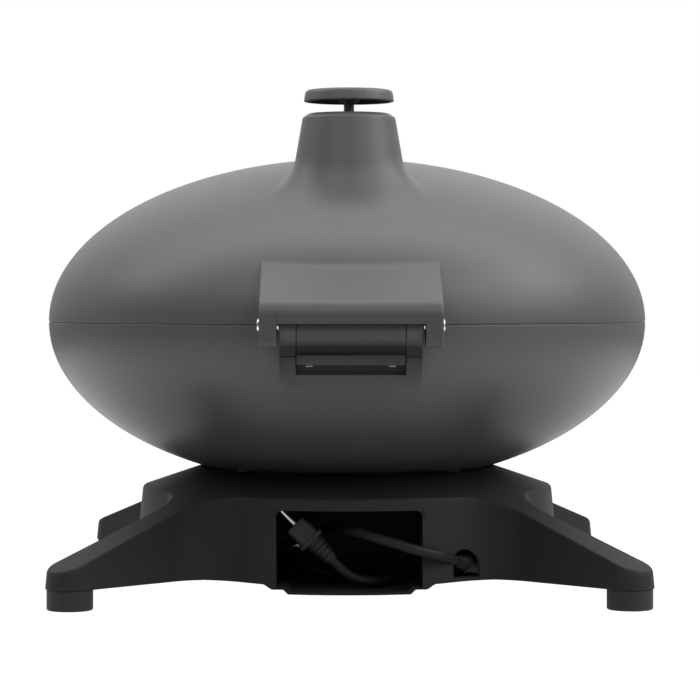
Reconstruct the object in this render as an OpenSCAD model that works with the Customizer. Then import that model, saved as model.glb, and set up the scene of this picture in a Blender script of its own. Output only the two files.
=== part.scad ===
/* [Body] */
// Outer radius of lid and bowl at the seam
body_r = 280; // [270:1:290]
// Height of the lid's dome above the seam
lid_h = 152.2; // [147:0.1:158]
// Depth of the bowl below the seam
bowl_h = 153.5; // [148:0.5:158]
// Wall of lid and bowl
wall = 3; // [2.5:0.1:4]
// Height of the bowl's lowest point above the table
bowl_low = 91; // [86:0.5:96]
// Open seam between the two rims
seam_gap = 1; // [0.6:0.1:2]
// Height of the bowl's lip above its rim
lip_h = 5; // [3:0.5:7]
// Thickness of that lip
lip_t = 3; // [2:0.5:4]
// Room between the lip and the lid
lip_gap = 1; // [0.6:0.1:2]
// Radius of the drain hole in the bowl
drain_r = 8; // [6:0.5:10]

/* [Flue and damper] */
// Distance of the flue's axis behind the body's axis
flue_y = 148; // [142:1:154]
// Outer radius of the flue just below its rim
flue_top_r = 40.6; // [38:0.2:43]
// Height of the flue's rim above the seam
flue_h = 185.6; // [180:0.2:192]
// Growth of the flue's radius for each millimetre down
flue_taper = 0.174; // [0.14:0.002:0.2]
// Wall of the flue
flue_wall = 3; // [2.5:0.1:3.5]
// Width of the flue's rolled rim
flue_rim_w = 7; // [6:0.5:9]
// Edge radius of that rim
flue_rim_edge = 4; // [2:0.5:5]
// Length of the flare at the rear of the flue
flare_rear = 34; // [26:1:36]
// Length of the flare at its sides and front
flare_side = 13; // [10:1:18]
// Radius of the opening in the dome that the flue fills
flue_foot_r = 92; // [90:1:98]
// Radius of the damper's cap
cap_r = 40.2; // [37:0.1:42]
// Thickness of the cap
cap_t = 10.5; // [8:0.5:12]
// Open gap between the cap and the flue's rim
damper_gap = 10.5; // [10:0.5:14]
// Diameter of the damper's stem
stem_d = 9.3; // [8:0.1:11]
// Radius of the hub that guides the stem
hub_r = 9; // [8:0.5:12]
// Height of that hub
hub_h = 18; // [14:1:24]
// Depth of the hub's top below the flue's rim
hub_drop = 9; // [7:0.5:14]
// Height of the two arms that carry the hub
arm_h = 8; // [5:0.5:10]
// Thickness of those arms
arm_t = 4; // [3:0.5:6]
// Thickness of the clip under the hub
clip_t = 3; // [2:0.5:4]

/* [Hinge] */
// Distance of the hinge axis behind the body's rim
hinge_reach = 20; // [19:0.5:23]
// Radius of the barrel
barrel_r = 17.5; // [15:0.5:18]
// Room between the barrel and the cover
cover_gap = 1.7; // [1:0.1:3]
// Wall of the cover
cover_t = 3.5; // [3:0.1:5]
// Width of the cover over both ears
cover_w = 153.5; // [140:0.5:170]
// Height of the cover's top edge above the seam
ramp_h = 49; // [44:1:54]
// Radius of the ears
ear_r = 18.5; // [16:0.5:19]
// Thickness of each ear
ear_t = 14.6; // [12:0.2:18]
// Radius of the hinge pins
pin_r = 4; // [3:0.25:5]
// Length of each pin's shank
pin_l = 40; // [34:1:50]
// Radius of the pin heads
pin_head_r = 6.25; // [5.5:0.25:7]
// Height of the pin heads
pin_head_t = 3; // [2:0.25:4]
// Wall of the bushes
bush_t = 2; // [1.5:0.25:3]
// Thickness of the flange on each bush
bush_flange_t = 1.5; // [1:0.1:2]
// Length of each side knuckle
knuckle_w = 14.4; // [12:0.2:18]
// Height of the ledge on the hinge block
ledge_h = 7; // [6:0.5:10]
// Height of the hinge bracket below its top face
bracket_h = 26.5; // [24:0.5:32]
// Distance between the two ledge screws
ledge_screw_pitch = 70; // [60:1:76]

/* [Handle] */
// Length of the grip
grip_l = 180; // [150:1:220]
// Radius of the grip
grip_r = 11; // [9:0.5:13]
// Height of the grip above the seam
grip_h = 32; // [26:1:40]
// Distance between the two posts
post_pitch = 130; // [110:1:140]
// Radius of the posts
post_r = 7; // [5:0.5:8]

/* [Base] */
// Radius of the round middle of the base
base_r = 194; // [190:1:200]
// Wall of the base
base_wall = 3; // [2.5:0.1:4]
// Fall of the base's top for each millimetre outwards
base_slope = 0.34; // [0.32:0.01:0.36]
// Radius of the saddle opening under the bowl
saddle_r = 137; // [132:1:142]
// Gap between the saddle's edge and the bowl
saddle_gap = 1; // [0.8:0.1:2]
// Height of the base's lower edge above the table
base_low = 18; // [15:0.5:20]
// Width of each leg
leg_w = 41; // [38:0.5:46]
// Distance between the two rear feet
rear_pitch = 481; // [470:1:490]
// Distance between the two front feet
front_pitch = 469; // [460:1:490]
// Distance between front and rear feet
foot_depth = 484; // [470:1:490]
// Fillet between a leg and the round middle
leg_fillet = 50; // [40:1:60]
// Radius of each foot
foot_r = 20; // [17:0.5:20.5]
// Drop of the shelf below the bowl's lowest point
shelf_drop = 7.5; // [6:0.5:10]
// Inner radius of the shelf
shelf_r = 96; // [90:1:102]
// Width of each pad under the bowl
pad_w = 14; // [10:1:20]
// Thickness of the underside cover
cover_plate_t = 2; // [1.5:0.5:3]
// Distance of the underside cover's screws from the axis
cover_screw_r = 165; // [160:1:172]

/* [Cord compartment] */
// Inner width of the rear opening
tub_w = 129; // [120:1:134]
// Height of the opening's top edge above the table
tub_top = 80.5; // [77:0.5:83]
// Height of the tub's underside above the table
tub_low = 6.8; // [5:0.1:9]
// Wall of the tub
tub_wall = 2.5; // [2:0.1:3]
// Distance of the tub's front wall from the body's axis
tub_front = 72; // [70:1:78]
// Diameter of the mains cord
cord_d = 9; // [8.4:0.1:9.2]
// Number of turns in the stored coil
coil_turns = 3.75; // [3.75, 4.75]

/* [Cooking] */
// Depth of the grate ledge below the seam
grate_ledge = 25; // [20:1:30]
// Height of the grates
grate_h = 12; // [9:0.5:15]
// Width of each bar
bar_w = 5; // [4:0.5:7]
// Distance between bars
bar_pitch = 16; // [12:1:20]
// Width of the two ledges in the bowl
ledge_w = 10; // [8:0.5:14]
// Depth of the reflector ledge below the seam
reflector_ledge = 95; // [88:1:100]
// Thickness of the reflector
reflector_t = 1.5; // [1:0.1:2]
// Distance of the element's loop inside the reflector's edge
element_inset = 63; // [50:1:75]
// Diameter of the element's tube
element_d = 8; // [6:0.5:9]
// Height of the element's axis above the reflector
element_lift = 23; // [18:1:30]
// Distance between the element's two legs
element_leg_pitch = 58; // [50:1:64]
// Distance of those legs in front of the body's axis
element_leg_y = 80; // [74:1:86]

/* [Drip tray] */
// Width of the tray
tray_w = 104; // [90:1:110]
// Height of the tray
tray_h = 28; // [22:0.5:29]
// Wall of the tray
tray_wall = 1.5; // [1:0.1:2.5]
// Height of the tray's underside above the table
tray_z = 36.3; // [34:0.1:37]
// Distance of the tray's rear end behind the body's axis
tray_rear = 52; // [45:1:58]
// Height of the tray's front panel
panel_h = 39; // [34:1:41]
// Thickness of each runner
runner_t = 3; // [2:0.5:4]

/* [Control] */
// Direction of the control around the base, from the right-hand side
control_az = -64; // [-67:1:-63]
// Height of the control's axis above the table
control_z = 55; // [50:1:58]
// Radius of the boss behind the dial
boss_r = 22; // [21:0.5:23]
// Distance of the boss's face from the round wall
boss_out = 5; // [4:0.5:8]
// Depth of the boss inside the round wall
boss_in = 10; // [8:0.5:14]
// Thickness of the dial plate
dial_t = 1.5; // [1:0.1:2.5]
// Radius of the knob
knob_r = 16.5; // [14:0.5:18]
// Height of the knob
knob_h = 20; // [16:0.5:26]
// Radius of the spindle
spindle_r = 3; // [2.5:0.25:4]

/* [Hidden] */
$fn = 96;

// Clearances
touch = 0.2;
run = 0.05;
hold = 0.02;
slack = 0.3;
far = 400;

// Colours
paint = "#56524f";
black = "#1b1b1c";
rubber = "#232326";
steel = "#c9c9c6";
dark_steel = "#4b4845";
iron = "#2c2b2a";

// Lid and bowl
arc_n = 36;
seam_z = bowl_low + bowl_h + seam_gap / 2;
lid_z = seam_z + seam_gap / 2;
bowl_z = seam_z - seam_gap / 2;
lid_top = lid_z + lid_h;

function quarter(r, h) = [for (i = [0:arc_n]) [r * cos(90 * i / arc_n), h * sin(90 * i / arc_n)]];

function dome_z(x, y, grow) =
    lid_z + (lid_h + grow) * sqrt(max(0, 1 - (x * x + y * y) / pow(body_r + grow, 2)));

function bowl_under(r) = bowl_z - bowl_h * sqrt(1 - pow(r / body_r, 2));

function bowl_inner_r(depth) = (body_r - wall) * sqrt(1 - pow(depth / (bowl_h - wall), 2));

module half_ellipsoid(r, h) {
    rotate_extrude() polygon(concat([[0, 0]], quarter(r, h)));
}

module lid_solid(grow) {
    translate([0, 0, lid_z]) half_ellipsoid(body_r + grow, lid_h + grow);
}

module bowl_solid(grow) {
    translate([0, 0, bowl_z]) half_ellipsoid(body_r + grow, -bowl_h - grow);
}

// A body of revolution laid along the x axis, growing towards +x
module along_x() {
    rotate([0, 90, 0]) children();
}

// A profile in the y-z plane, drawn around the hinge axis and carried along x
module hinge_profile(x0, x1) {
    translate([x0, hinge_y, hinge_z]) rotate([90, 0, 90]) linear_extrude(x1 - x0) children();
}

// A piece drawn along z, turned so that z points outwards at an azimuth
module radial(az, r, z) {
    rotate([0, 0, az]) translate([r, 0, z]) rotate([0, 90, 0]) children();
}

module both_sides() {
    children();
    mirror([1, 0, 0]) children();
}

module lid_shell() {
    color(paint) difference() {
        lid_solid(0);
        lid_solid(-wall);
        translate([0, flue_y, lid_z + lip_h]) cylinder(r = flue_foot_r + touch, h = far);
    }
}

// Flue with its flare: a ring of profiles around the flue's axis
flue_n = 60;
flare_n = 6;
flue_z = lid_z + flue_h;
flue_step = 360 / flue_n;

function flue_r(z) = flue_top_r + flue_taper * (flue_z - z);

// Radius at which the tapered wall would cut the dome, by repeated substitution
function cut_r(az, grow, r, n) =
    n == 0 ? r : cut_r(az, grow, flue_r(around_z(az, r, grow)) + grow, n - 1);

function around_z(az, r, grow) = dome_z(r * cos(az), flue_y + r * sin(az), grow);

// The flare grows smoothly from its side length to its rear length between two directions
flare_from = -10;
flare_to = 35;

function flare_len(az) = let (
    t = min(1, max(0, (asin(sin(az)) - flare_from) / (flare_to - flare_from)))
) flare_side + (flare_rear - flare_side) * t * t * (3 - 2 * t);

function bend(a, b, c, t) = a * pow(1 - t, 2) + b * 2 * t * (1 - t) + c * pow(t, 2);

// Wall, flare and dome of one profile, as radius and height
function flare_profile(az, grow) = let (
    r1 = cut_r(az, grow, flue_top_r, 5),
    z1 = around_z(az, r1, grow),
    l = flare_len(az),
    a = [flue_r(z1 + l) + grow, z1 + l],
    c = [r1 + l, around_z(az, r1 + l, grow)]
) concat([for (i = [0:flare_n]) bend(a, [r1, z1], c, i / flare_n)],
    [[flue_foot_r, around_z(az, flue_foot_r, grow)]]);

function flue_profile(az) = let (
    rim_r = flue_r(flue_z - flue_rim_edge),
    inner = flare_profile(az, -flue_wall),
    rim_low = flue_z - flue_rim_edge
) concat(
    [[rim_r - flue_rim_w, rim_low], [rim_r - flue_rim_w, flue_z]],
    [for (a = [0:30:90]) [rim_r - flue_rim_edge * (1 - sin(a)), rim_low + flue_rim_edge * cos(a)]],
    flare_profile(az, 0),
    [for (i = [len(inner) - 1:-1:0]) inner[i]],
    [[flue_r(rim_low - flue_rim_edge) - flue_wall, rim_low - flue_rim_edge]]);

flue_rows = len(flue_profile(0));
flue_points = [for (k = [0:flue_n - 1]) let (az = k * flue_step) for (p = flue_profile(az))
    [p[0] * cos(az), flue_y + p[0] * sin(az), p[1]]];

// Triangles of a grid that closes in both directions
function ring_faces(n, m) = [for (i = [0:n - 1], j = [0:m - 1]) let (
    a = i * m + j,
    b = ((i + 1) % n) * m + j,
    c = ((i + 1) % n) * m + (j + 1) % m,
    d = i * m + (j + 1) % m
) each [[a, c, b], [a, d, c]]];

module lid_flue() {
    color(paint) polyhedron(flue_points, ring_faces(flue_n, flue_rows));
}

// Damper
stem_r = stem_d / 2;
cap_z = flue_z + damper_gap;
hub_z = flue_z - hub_drop - hub_h;
cap_edge = 3;
cap_draft = 1.6;
cap_hollow = 4;
cap_skirt = 3;
clip_r = hub_r - 1.5;
guide_r = flue_r(flue_z - hub_drop) - flue_wall - slack;

module damper_guide() {
    color(dark_steel) translate([0, flue_y, hub_z]) difference() {
        union() {
            cylinder(r = hub_r, h = hub_h);
            intersection() {
                translate([-guide_r, -arm_t / 2, hub_h - arm_h]) cube([2 * guide_r, arm_t, arm_h]);
                cylinder(r = guide_r, h = hub_h);
            }
        }
        translate([0, 0, -1]) cylinder(r = stem_r + run, h = hub_h + 2);
    }
}

module damper_cap() {
    color(paint) translate([0, flue_y, cap_z]) difference() {
        rotate_extrude() union() {
            polygon([[0, 0], [cap_r, 0], [cap_r - cap_draft, cap_t - cap_edge],
                [cap_r - cap_draft - cap_edge, cap_t], [0, cap_t]]);
            translate([cap_r - cap_draft - cap_edge, cap_t - cap_edge]) circle(r = cap_edge);
        }
        translate([0, 0, -1]) difference() {
            cylinder(r = cap_r - cap_skirt, h = cap_hollow + 1);
            cylinder(r = hub_r, h = cap_hollow + 2);
        }
        translate([0, 0, -1]) cylinder(r = stem_r + hold, h = cap_hollow + 1);
    }
}

module damper_stem() {
    color(dark_steel) translate([0, flue_y, hub_z - clip_t - stem_r])
        cylinder(r = stem_r, h = cap_z + cap_hollow - hub_z + clip_t + stem_r);
}

module damper_clip() {
    color(steel) translate([0, flue_y, hub_z - slack - clip_t]) difference() {
        cylinder(r = clip_r, h = clip_t);
        translate([0, 0, -1]) cylinder(r = stem_r + hold, h = clip_t + 2);
    }
}

// Hinge, measured from its axis
hinge_y = body_r + hinge_reach;
hinge_z = seam_z;
cover_r = barrel_r + cover_gap + cover_t;
ear_x = cover_w / 2 - ear_t;
knuckle_x1 = ear_x - slack - bush_flange_t;
knuckle_x0 = knuckle_x1 - knuckle_w;
block_x = knuckle_x0 - touch;
bush_r = pin_r + bush_t;

// Section of the cover at a place along its width: from the dome down the ramp and round the barrel.
// The ramp starts on the dome at nearly the same height everywhere, so that its top edge lies level.
ramp_rise = 3;
ramp_in = 12;
cover_n = 12;
cover_arc_n = 8;
ear_corner = 5;

function cover_ring(x, r, low) = let (
    h = ramp_h + ramp_rise * pow(2 * x / cover_w, 2),
    y = sqrt(pow(body_r, 2) * (1 - pow(h / lid_h, 2)) - x * x) - hinge_y,
    az = atan2(h, y) - acos(cover_r / norm([y, h])),
    l = sqrt(y * y + h * h - cover_r * cover_r) + ramp_in,
    end = r * [cos(az), sin(az)] + l * [-sin(az), cos(az)],
    last = asin(low / r),
    points = concat([end], [for (i = [0:cover_arc_n]) let (a = az + (last - az) * i / cover_arc_n)
        r * [cos(a), sin(a)]], [[end[0], low]])
) [for (p = points) [x, hinge_y + p[0], hinge_z + p[1]]];

module cover_body(x1, r, low) {
    n = cover_arc_n + 3;
    polyhedron([for (i = [0:cover_n]) each cover_ring(x1 * (2 * i / cover_n - 1), r, low)],
        tube_faces(cover_n + 1, n));
}

// Lower half of an ear: round in front of the axis, straight with a rounded corner behind it
module ear_foot() {
    circle(r = ear_r);
    translate([0, ear_corner - ear_r]) square([cover_r, ear_r - ear_corner + 2 * seam_gap]);
    translate([0, -ear_r]) square([cover_r - ear_corner, ear_r]);
    translate([cover_r - ear_corner, ear_corner - ear_r]) circle(r = ear_corner);
}

module lid_hinge_cover() {
    color(paint) difference() {
        union() {
            difference() {
                cover_body(cover_w / 2, cover_r, seam_gap);
                cover_body(ear_x, cover_r - cover_t, -seam_gap);
            }
            both_sides() hinge_profile(ear_x, cover_w / 2) ear_foot();
        }
        lid_solid(touch);
        translate([-far / 2, hinge_y, hinge_z]) along_x() cylinder(r = pin_r + hold, h = far);
    }
}

module hinge_pin() {
    translate([cover_w / 2, hinge_y, hinge_z]) along_x() {
        translate([0, 0, -pin_l]) cylinder(r = pin_r, h = pin_l);
        rotate_extrude() union() {
            square([pin_head_r, pin_head_t / 2]);
            square([pin_head_r - pin_head_t / 2, pin_head_t]);
            translate([pin_head_r - pin_head_t / 2, pin_head_t / 2]) circle(r = pin_head_t / 2);
        }
    }
}

module hinge_pin_left() {
    color(steel) hinge_pin();
}

module hinge_pin_right() {
    color(steel) mirror([1, 0, 0]) hinge_pin();
}

module hinge_bush() {
    translate([knuckle_x0, hinge_y, hinge_z]) along_x() difference() {
        union() {
            cylinder(r = bush_r, h = knuckle_w);
            translate([0, 0, knuckle_w]) cylinder(r = bush_r + bush_t, h = bush_flange_t);
        }
        translate([0, 0, -1]) cylinder(r = pin_r + run, h = knuckle_w + bush_flange_t + 2);
    }
}

module hinge_bush_left() {
    color(steel) hinge_bush();
}

module hinge_bush_right() {
    color(steel) mirror([1, 0, 0]) hinge_bush();
}

// Web from the barrel to the bracket, kept clear of the cover as the lid opens
plate_gap = 3.7;
plate_top = -(cover_r + plate_gap);
plate_face = -6;
ledge_face = -3;
recess_face = -14;
recess_h = 8.5;
web_in = -28;
web_out = -7;
corner_cut = 5;
ledge_screw_r = 2.5;
ledge_screw_head_r = 4.4;
ledge_screw_head_t = 1.8;
ledge_screw_y = (recess_face + ledge_face) / 2;

module web_profile() {
    polygon([[web_in, -2], [2 * web_out, -2], [web_out, 2 - barrel_r], [web_out, plate_top],
        [web_in, plate_top]]);
}

module bracket_plate() {
    translate([0, hinge_y + plate_face, hinge_z + plate_top]) rotate([90, 0, 0])
        linear_extrude(hinge_reach + bracket_h)
        polygon([[-knuckle_x1, 0], [knuckle_x1, 0], [knuckle_x1, corner_cut - bracket_h],
            [knuckle_x1 - corner_cut, -bracket_h], [corner_cut - knuckle_x1, -bracket_h],
            [-knuckle_x1, corner_cut - bracket_h]]);
}

module hinge_bracket() {
    color(dark_steel) difference() {
        union() {
            both_sides() {
                hinge_profile(knuckle_x0, knuckle_x1) circle(r = barrel_r);
                hinge_profile(knuckle_x0, knuckle_x1) web_profile();
            }
            bracket_plate();
        }
        bowl_solid(touch);
        lid_solid(touch + seam_gap);
        hinge_profile(-block_x - touch, block_x + touch)
            translate([recess_face, plate_top - ledge_h - recess_h]) square([far, ledge_h + recess_h + 1]);
        translate([-far / 2, hinge_y, hinge_z]) along_x() cylinder(r = bush_r + hold, h = far);
    }
}

module hinge_block() {
    color(dark_steel) difference() {
        union() {
            hinge_profile(-block_x, block_x) circle(r = barrel_r);
            hinge_profile(-block_x, block_x) web_profile();
            hinge_profile(-block_x, block_x)
                translate([recess_face, plate_top - ledge_h])
                    square([ledge_face - recess_face, ledge_h + touch]);
        }
        bowl_solid(touch);
        lid_solid(touch + seam_gap);
        bracket_solid_below();
        translate([-far / 2, hinge_y, hinge_z]) along_x() cylinder(r = pin_r + run, h = far);
        ledge_screw_places() translate([0, 0, -1]) cylinder(r = ledge_screw_r + hold, h = ledge_h + 1);
    }
}

// Room under the web for the bracket's plate behind the recess
module bracket_solid_below() {
    hinge_profile(-block_x - 1, block_x + 1)
        translate([web_in - 1, plate_top - 1]) square([recess_face - web_in + 1, 1]);
}

module ledge_screw_places() {
    for (s = [-1, 1])
        translate([s * ledge_screw_pitch / 2, hinge_y + ledge_screw_y, hinge_z + plate_top - ledge_h])
            children();
}

module hinge_screws() {
    color(steel) ledge_screw_places() {
        translate([0, 0, -ledge_screw_head_t]) cylinder(r = ledge_screw_head_r, h = ledge_screw_head_t);
        cylinder(r = ledge_screw_r, h = ledge_h - 1);
    }
}

// Handle
grip_y = grip_r - hinge_y - cover_r;
grip_z = seam_z + grip_h;
grip_end = 3;

module grip_bar(grow) {
    translate([-grip_l / 2, grip_y, grip_z]) along_x() rotate_extrude() union() {
        square([grip_r + grow - grip_end, grip_l]);
        translate([0, grip_end]) square([grip_r + grow, grip_l - 2 * grip_end]);
        for (z = [grip_end, grip_l - grip_end])
            translate([grip_r + grow - grip_end, z]) circle(r = grip_end);
    }
}

module post_rod(x, grow) {
    translate([x, grip_y, grip_z]) rotate([-90, 0, 0]) cylinder(r = post_r + grow, h = body_r);
}

module handle_grip() {
    color(black) difference() {
        grip_bar(0);
        for (s = [-1, 1])
            post_rod(s * post_pitch / 2, hold);
    }
}

module handle_post(x) {
    difference() {
        post_rod(x, 0);
        lid_solid(touch);
        translate([0, 0, bowl_z - far]) cylinder(r = body_r - wall, h = far);
    }
}

module handle_post_left() {
    color(dark_steel) handle_post(post_pitch / 2);
}

module handle_post_right() {
    color(dark_steel) handle_post(-post_pitch / 2);
}

// Bowl and what it holds
grate_z = bowl_z - grate_ledge;
reflector_z = bowl_z - reflector_ledge;
element_z = reflector_z + reflector_t + element_lift;
element_bush_r = 7;
ledge_room = 2;
grate_gap = 1;
rim_foot = 2;
grate_r = bowl_inner_r(grate_ledge) - ledge_room;
reflector_r = bowl_inner_r(reflector_ledge) - ledge_room;
element_r = reflector_r - element_inset;
reflector_hole_r = 30;
element_legs = [for (s = [-1, 1]) [s * element_leg_pitch / 2, -element_leg_y]];

module bowl_ledge(depth) {
    r = bowl_inner_r(depth) + wall / 2;
    translate([0, 0, bowl_z - depth]) rotate_extrude()
        polygon([[r, 0], [r - ledge_w - wall / 2, 0], [r - ledge_w - wall / 2, -2], [r, -2 - ledge_w]]);
}

module bowl_shell() {
    color(paint) difference() {
        union() {
            difference() {
                bowl_solid(0);
                bowl_solid(-wall);
            }
            intersection() {
                union() {
                    bowl_ledge(grate_ledge);
                    bowl_ledge(reflector_ledge);
                }
                bowl_solid(-wall / 2);
            }
            translate([0, 0, bowl_z - 2 * lip_h]) rotate_extrude()
                translate([body_r - wall - lip_gap - lip_t, 0])
                    polygon([[0, 0], [lip_t + lip_gap, 0], [lip_t + lip_gap, 2 * lip_h], [lip_t, 2 * lip_h],
                        [lip_t, 3 * lip_h], [0, 3 * lip_h]]);
        }
        translate([0, 0, bowl_z - far]) cylinder(r = drain_r, h = far);
        for (p = element_legs)
            translate([p[0], p[1], bowl_z - far]) cylinder(r = element_bush_r + hold, h = far);
    }
}

module drain_collar() {
    collar_r = drain_r + 4;
    collar_h = 10;
    color(dark_steel) translate([0, 0, bowl_low - collar_h]) difference() {
        cylinder(r = collar_r, h = 2 * collar_h);
        translate([0, 0, -1]) cylinder(r = drain_r, h = 2 * collar_h + 2);
        translate([0, 0, collar_h - bowl_low]) bowl_solid(touch);
    }
}

module grate(s) {
    r = grate_r;
    n = floor(r / bar_pitch);
    translate([0, 0, grate_z]) intersection() {
        union() {
            difference() {
                cylinder(r = r, h = grate_h);
                translate([0, 0, -1]) cylinder(r = r - bar_w - rim_foot, h = grate_h + 2);
            }
            for (i = [0:n])
                translate([s * (i * bar_pitch + bar_w / 2 + grate_gap / 2) - bar_w / 2, -r, rim_foot])
                    cube([bar_w, 2 * r, grate_h - rim_foot]);
        }
        cylinder(r = r, h = grate_h);
        translate([s > 0 ? grate_gap / 2 : -r - grate_gap / 2, -r, 0]) cube([r, 2 * r, grate_h]);
    }
}

module grate_left() {
    color(iron) grate(1);
}

module grate_right() {
    color(iron) grate(-1);
}

module reflector() {
    color(steel) translate([0, 0, reflector_z]) difference() {
        cylinder(r = reflector_r, h = reflector_t);
        translate([0, 0, -1]) cylinder(r = reflector_hole_r, h = reflector_t + 2);
        for (p = element_legs)
            translate([p[0], p[1], -1]) cylinder(r = element_bush_r + 1, h = reflector_t + 2);
    }
}

element_gap_az = acos(1 - pow(element_leg_pitch / element_r, 2) / 2);
leg_out = 22;
bush_l = 24;
bush_drop = 6;
leg_low = bowl_under(norm(element_legs[0])) - leg_out;

module heating_element() {
    tube_r = element_d / 2;
    elbow_r = tube_r + touch;
    end_y = sqrt(pow(element_r, 2) - pow(element_leg_pitch / 2, 2));
    color(dark_steel) union() {
        translate([0, 0, element_z]) rotate([0, 0, -90 + element_gap_az / 2])
            rotate_extrude(angle = 360 - element_gap_az) translate([element_r, 0]) circle(r = tube_r);
        for (s = [-1, 1]) {
            translate([s * element_leg_pitch / 2, -end_y, element_z]) {
                sphere(r = elbow_r);
                rotate([-90, 0, 0]) cylinder(r = tube_r, h = end_y - element_leg_y);
            }
            translate([s * element_leg_pitch / 2, -element_leg_y, leg_low]) {
                cylinder(r = tube_r, h = element_z - leg_low);
                translate([0, 0, element_z - leg_low]) sphere(r = elbow_r);
            }
        }
    }
}

module element_posts() {
    post_w = element_d + 4;
    post_t = 4;
    color(steel) for (az = [30, 150, 90])
        rotate([0, 0, az]) translate([element_r, 0, reflector_z + reflector_t]) difference() {
            translate([-post_w / 2, -post_t / 2, 0]) cube([post_w, post_t, element_lift]);
            translate([0, 0, element_lift]) rotate([90, 0, 0])
                cylinder(r = element_d / 2 + slack, h = post_w, center = true);
        }
}

module element_bushes() {
    color("#d8d2c4") for (p = element_legs)
        translate([p[0], p[1], leg_low + bush_drop]) difference() {
            cylinder(r = element_bush_r, h = bush_l);
            translate([0, 0, -1]) cylinder(r = element_d / 2 + hold, h = bush_l + 2);
        }
}

// Base
leg_ends = [[rear_pitch, foot_depth] / 2, [-rear_pitch, foot_depth] / 2, [-front_pitch, -foot_depth] / 2,
    [front_pitch, -foot_depth] / 2];
foot_d = max([for (p = leg_ends) norm(p)]);
saddle_z = bowl_under(saddle_r) - saddle_gap;
shelf_z = bowl_low - shelf_drop;
diagonals = [45, 135, 225, 315];
foot_screw_r = 3;
foot_boss_r = 8;
foot_screw_l = 20;
cover_boss_r = 5;
cover_hole_r = 2;
cover_screw_l = 11;
cover_screw_head_t = 2;

function roof_z(r) = saddle_z - base_slope * (r - saddle_r);

module base_plan(inset) {
    vc = leg_w / 2 + leg_fillet;
    uc = sqrt(pow(base_r + leg_fillet, 2) - pow(vc, 2));
    circle(r = base_r - inset);
    for (p = leg_ends)
        rotate(atan2(p[1], p[0])) {
            translate([0, inset - leg_w / 2]) square([norm(p), leg_w - 2 * inset]);
            translate([norm(p), 0]) circle(r = leg_w / 2 - inset);
            for (m = [0, 1])
                mirror([0, m]) difference() {
                    polygon([[0, 0], [uc, 0], [uc, vc]]);
                    translate([uc, vc]) circle(r = leg_fillet + inset);
                }
        }
}

// Everything below the sloping top, lowered by a drop
module under_roof(drop) {
    r = foot_d + leg_w;
    rotate_extrude() polygon([[0, 0], [r, 0], [r, roof_z(r) - drop], [0, roof_z(0) - drop]]);
}

module at_feet() {
    for (p = leg_ends)
        translate([p[0], p[1], 0]) children();
}

module at_cover_screws() {
    for (az = diagonals)
        rotate([0, 0, az]) translate([cover_screw_r, 0, base_low]) children();
}

// Pads stand inside the saddle's edge, on the diagonals
pad_r = saddle_r - 9;
pad_l = 17;
pad_screw_l = 12;
pad_screw_head_r = 5;
pad_screw_head_t = 3;

module at_pads() {
    for (az = diagonals)
        rotate([0, 0, az]) children();
}

module base_walls() {
    drop = base_wall * sqrt(1 + pow(base_slope, 2));
    difference() {
        intersection() {
            translate([0, 0, base_low]) linear_extrude(far) base_plan(0);
            under_roof(0);
        }
        intersection() {
            translate([0, 0, base_low - 1]) linear_extrude(far) base_plan(base_wall);
            under_roof(drop);
        }
        cylinder(r = saddle_r, h = far);
    }
}

module base_saddle() {
    difference() {
        intersection() {
            translate([0, 0, shelf_z - base_wall]) cylinder(r = saddle_r + base_wall, h = far);
            under_roof(0);
        }
        translate([0, 0, shelf_z]) cylinder(r = saddle_r, h = far);
        cylinder(r = shelf_r, h = far);
    }
}

module base_bosses() {
    intersection() {
        union() {
            at_feet() translate([0, 0, base_low]) cylinder(r = foot_boss_r, h = far);
            at_cover_screws() translate([0, 0, cover_plate_t]) cylinder(r = cover_boss_r, h = far);
        }
        under_roof(1);
    }
    radial(control_az, base_r - boss_in, control_z) cylinder(r = boss_r, h = boss_in + boss_out);
    difference() {
        radial(niche_az, base_r - niche_depth - base_wall, niche_z)
            cylinder(r = niche_r + base_wall, h = niche_depth + base_wall / 2);
        cylinder(r = base_r, h = base_low + cover_plate_t + touch);
    }
}

module base_shell() {
    color(black) difference() {
        union() {
            base_walls();
            base_saddle();
            base_bosses();
        }
        translate([0, base_r / 2, 0]) tub_section(touch, base_r);
        translate([-panel_w / 2 - 1, -base_r - 20, panel_z - 1]) cube([panel_w + 2, base_r / 2, panel_h + 2]);
        radial(control_az, 0, control_z) cylinder(r = spindle_r + slack, h = far);
        radial(pilot_az, 0, control_z) cylinder(r = pilot_r + hold, h = far);
        niche_cut();
        at_gland() translate([0, 0, -gland_in - touch]) cylinder(r = gland_r + run, h = gland_in + touch);
        at_feet() cylinder(r = foot_screw_r + hold, h = foot_well_h + foot_screw_l + touch);
        at_cover_screws() cylinder(r = cover_hole_r + hold, h = cover_screw_l + touch);
        at_pads() translate([pad_r, 0, 0]) cylinder(r = foot_screw_r + hold, h = shelf_z + 1);
    }
}

module bowl_pads() {
    color(rubber) at_pads() difference() {
        intersection() {
            translate([saddle_r - touch - pad_l, -pad_w / 2, shelf_z]) cube([pad_l, pad_w, saddle_z]);
            cylinder(r = saddle_r - touch, h = far);
        }
        bowl_solid(touch);
        translate([pad_r, 0, 0])
            cylinder(r = foot_screw_r + hold, h = shelf_z - base_wall + pad_screw_l + touch);
    }
}

module bowl_screws() {
    color(steel) at_pads() translate([pad_r, 0, shelf_z - base_wall]) {
        translate([0, 0, -pad_screw_head_t]) cylinder(r = pad_screw_head_r, h = pad_screw_head_t);
        cylinder(r = foot_screw_r, h = pad_screw_l);
    }
}

foot_well_r = 7;
foot_well_h = 8;
foot_screw_head_t = 3;
foot_edge = 2;

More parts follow.
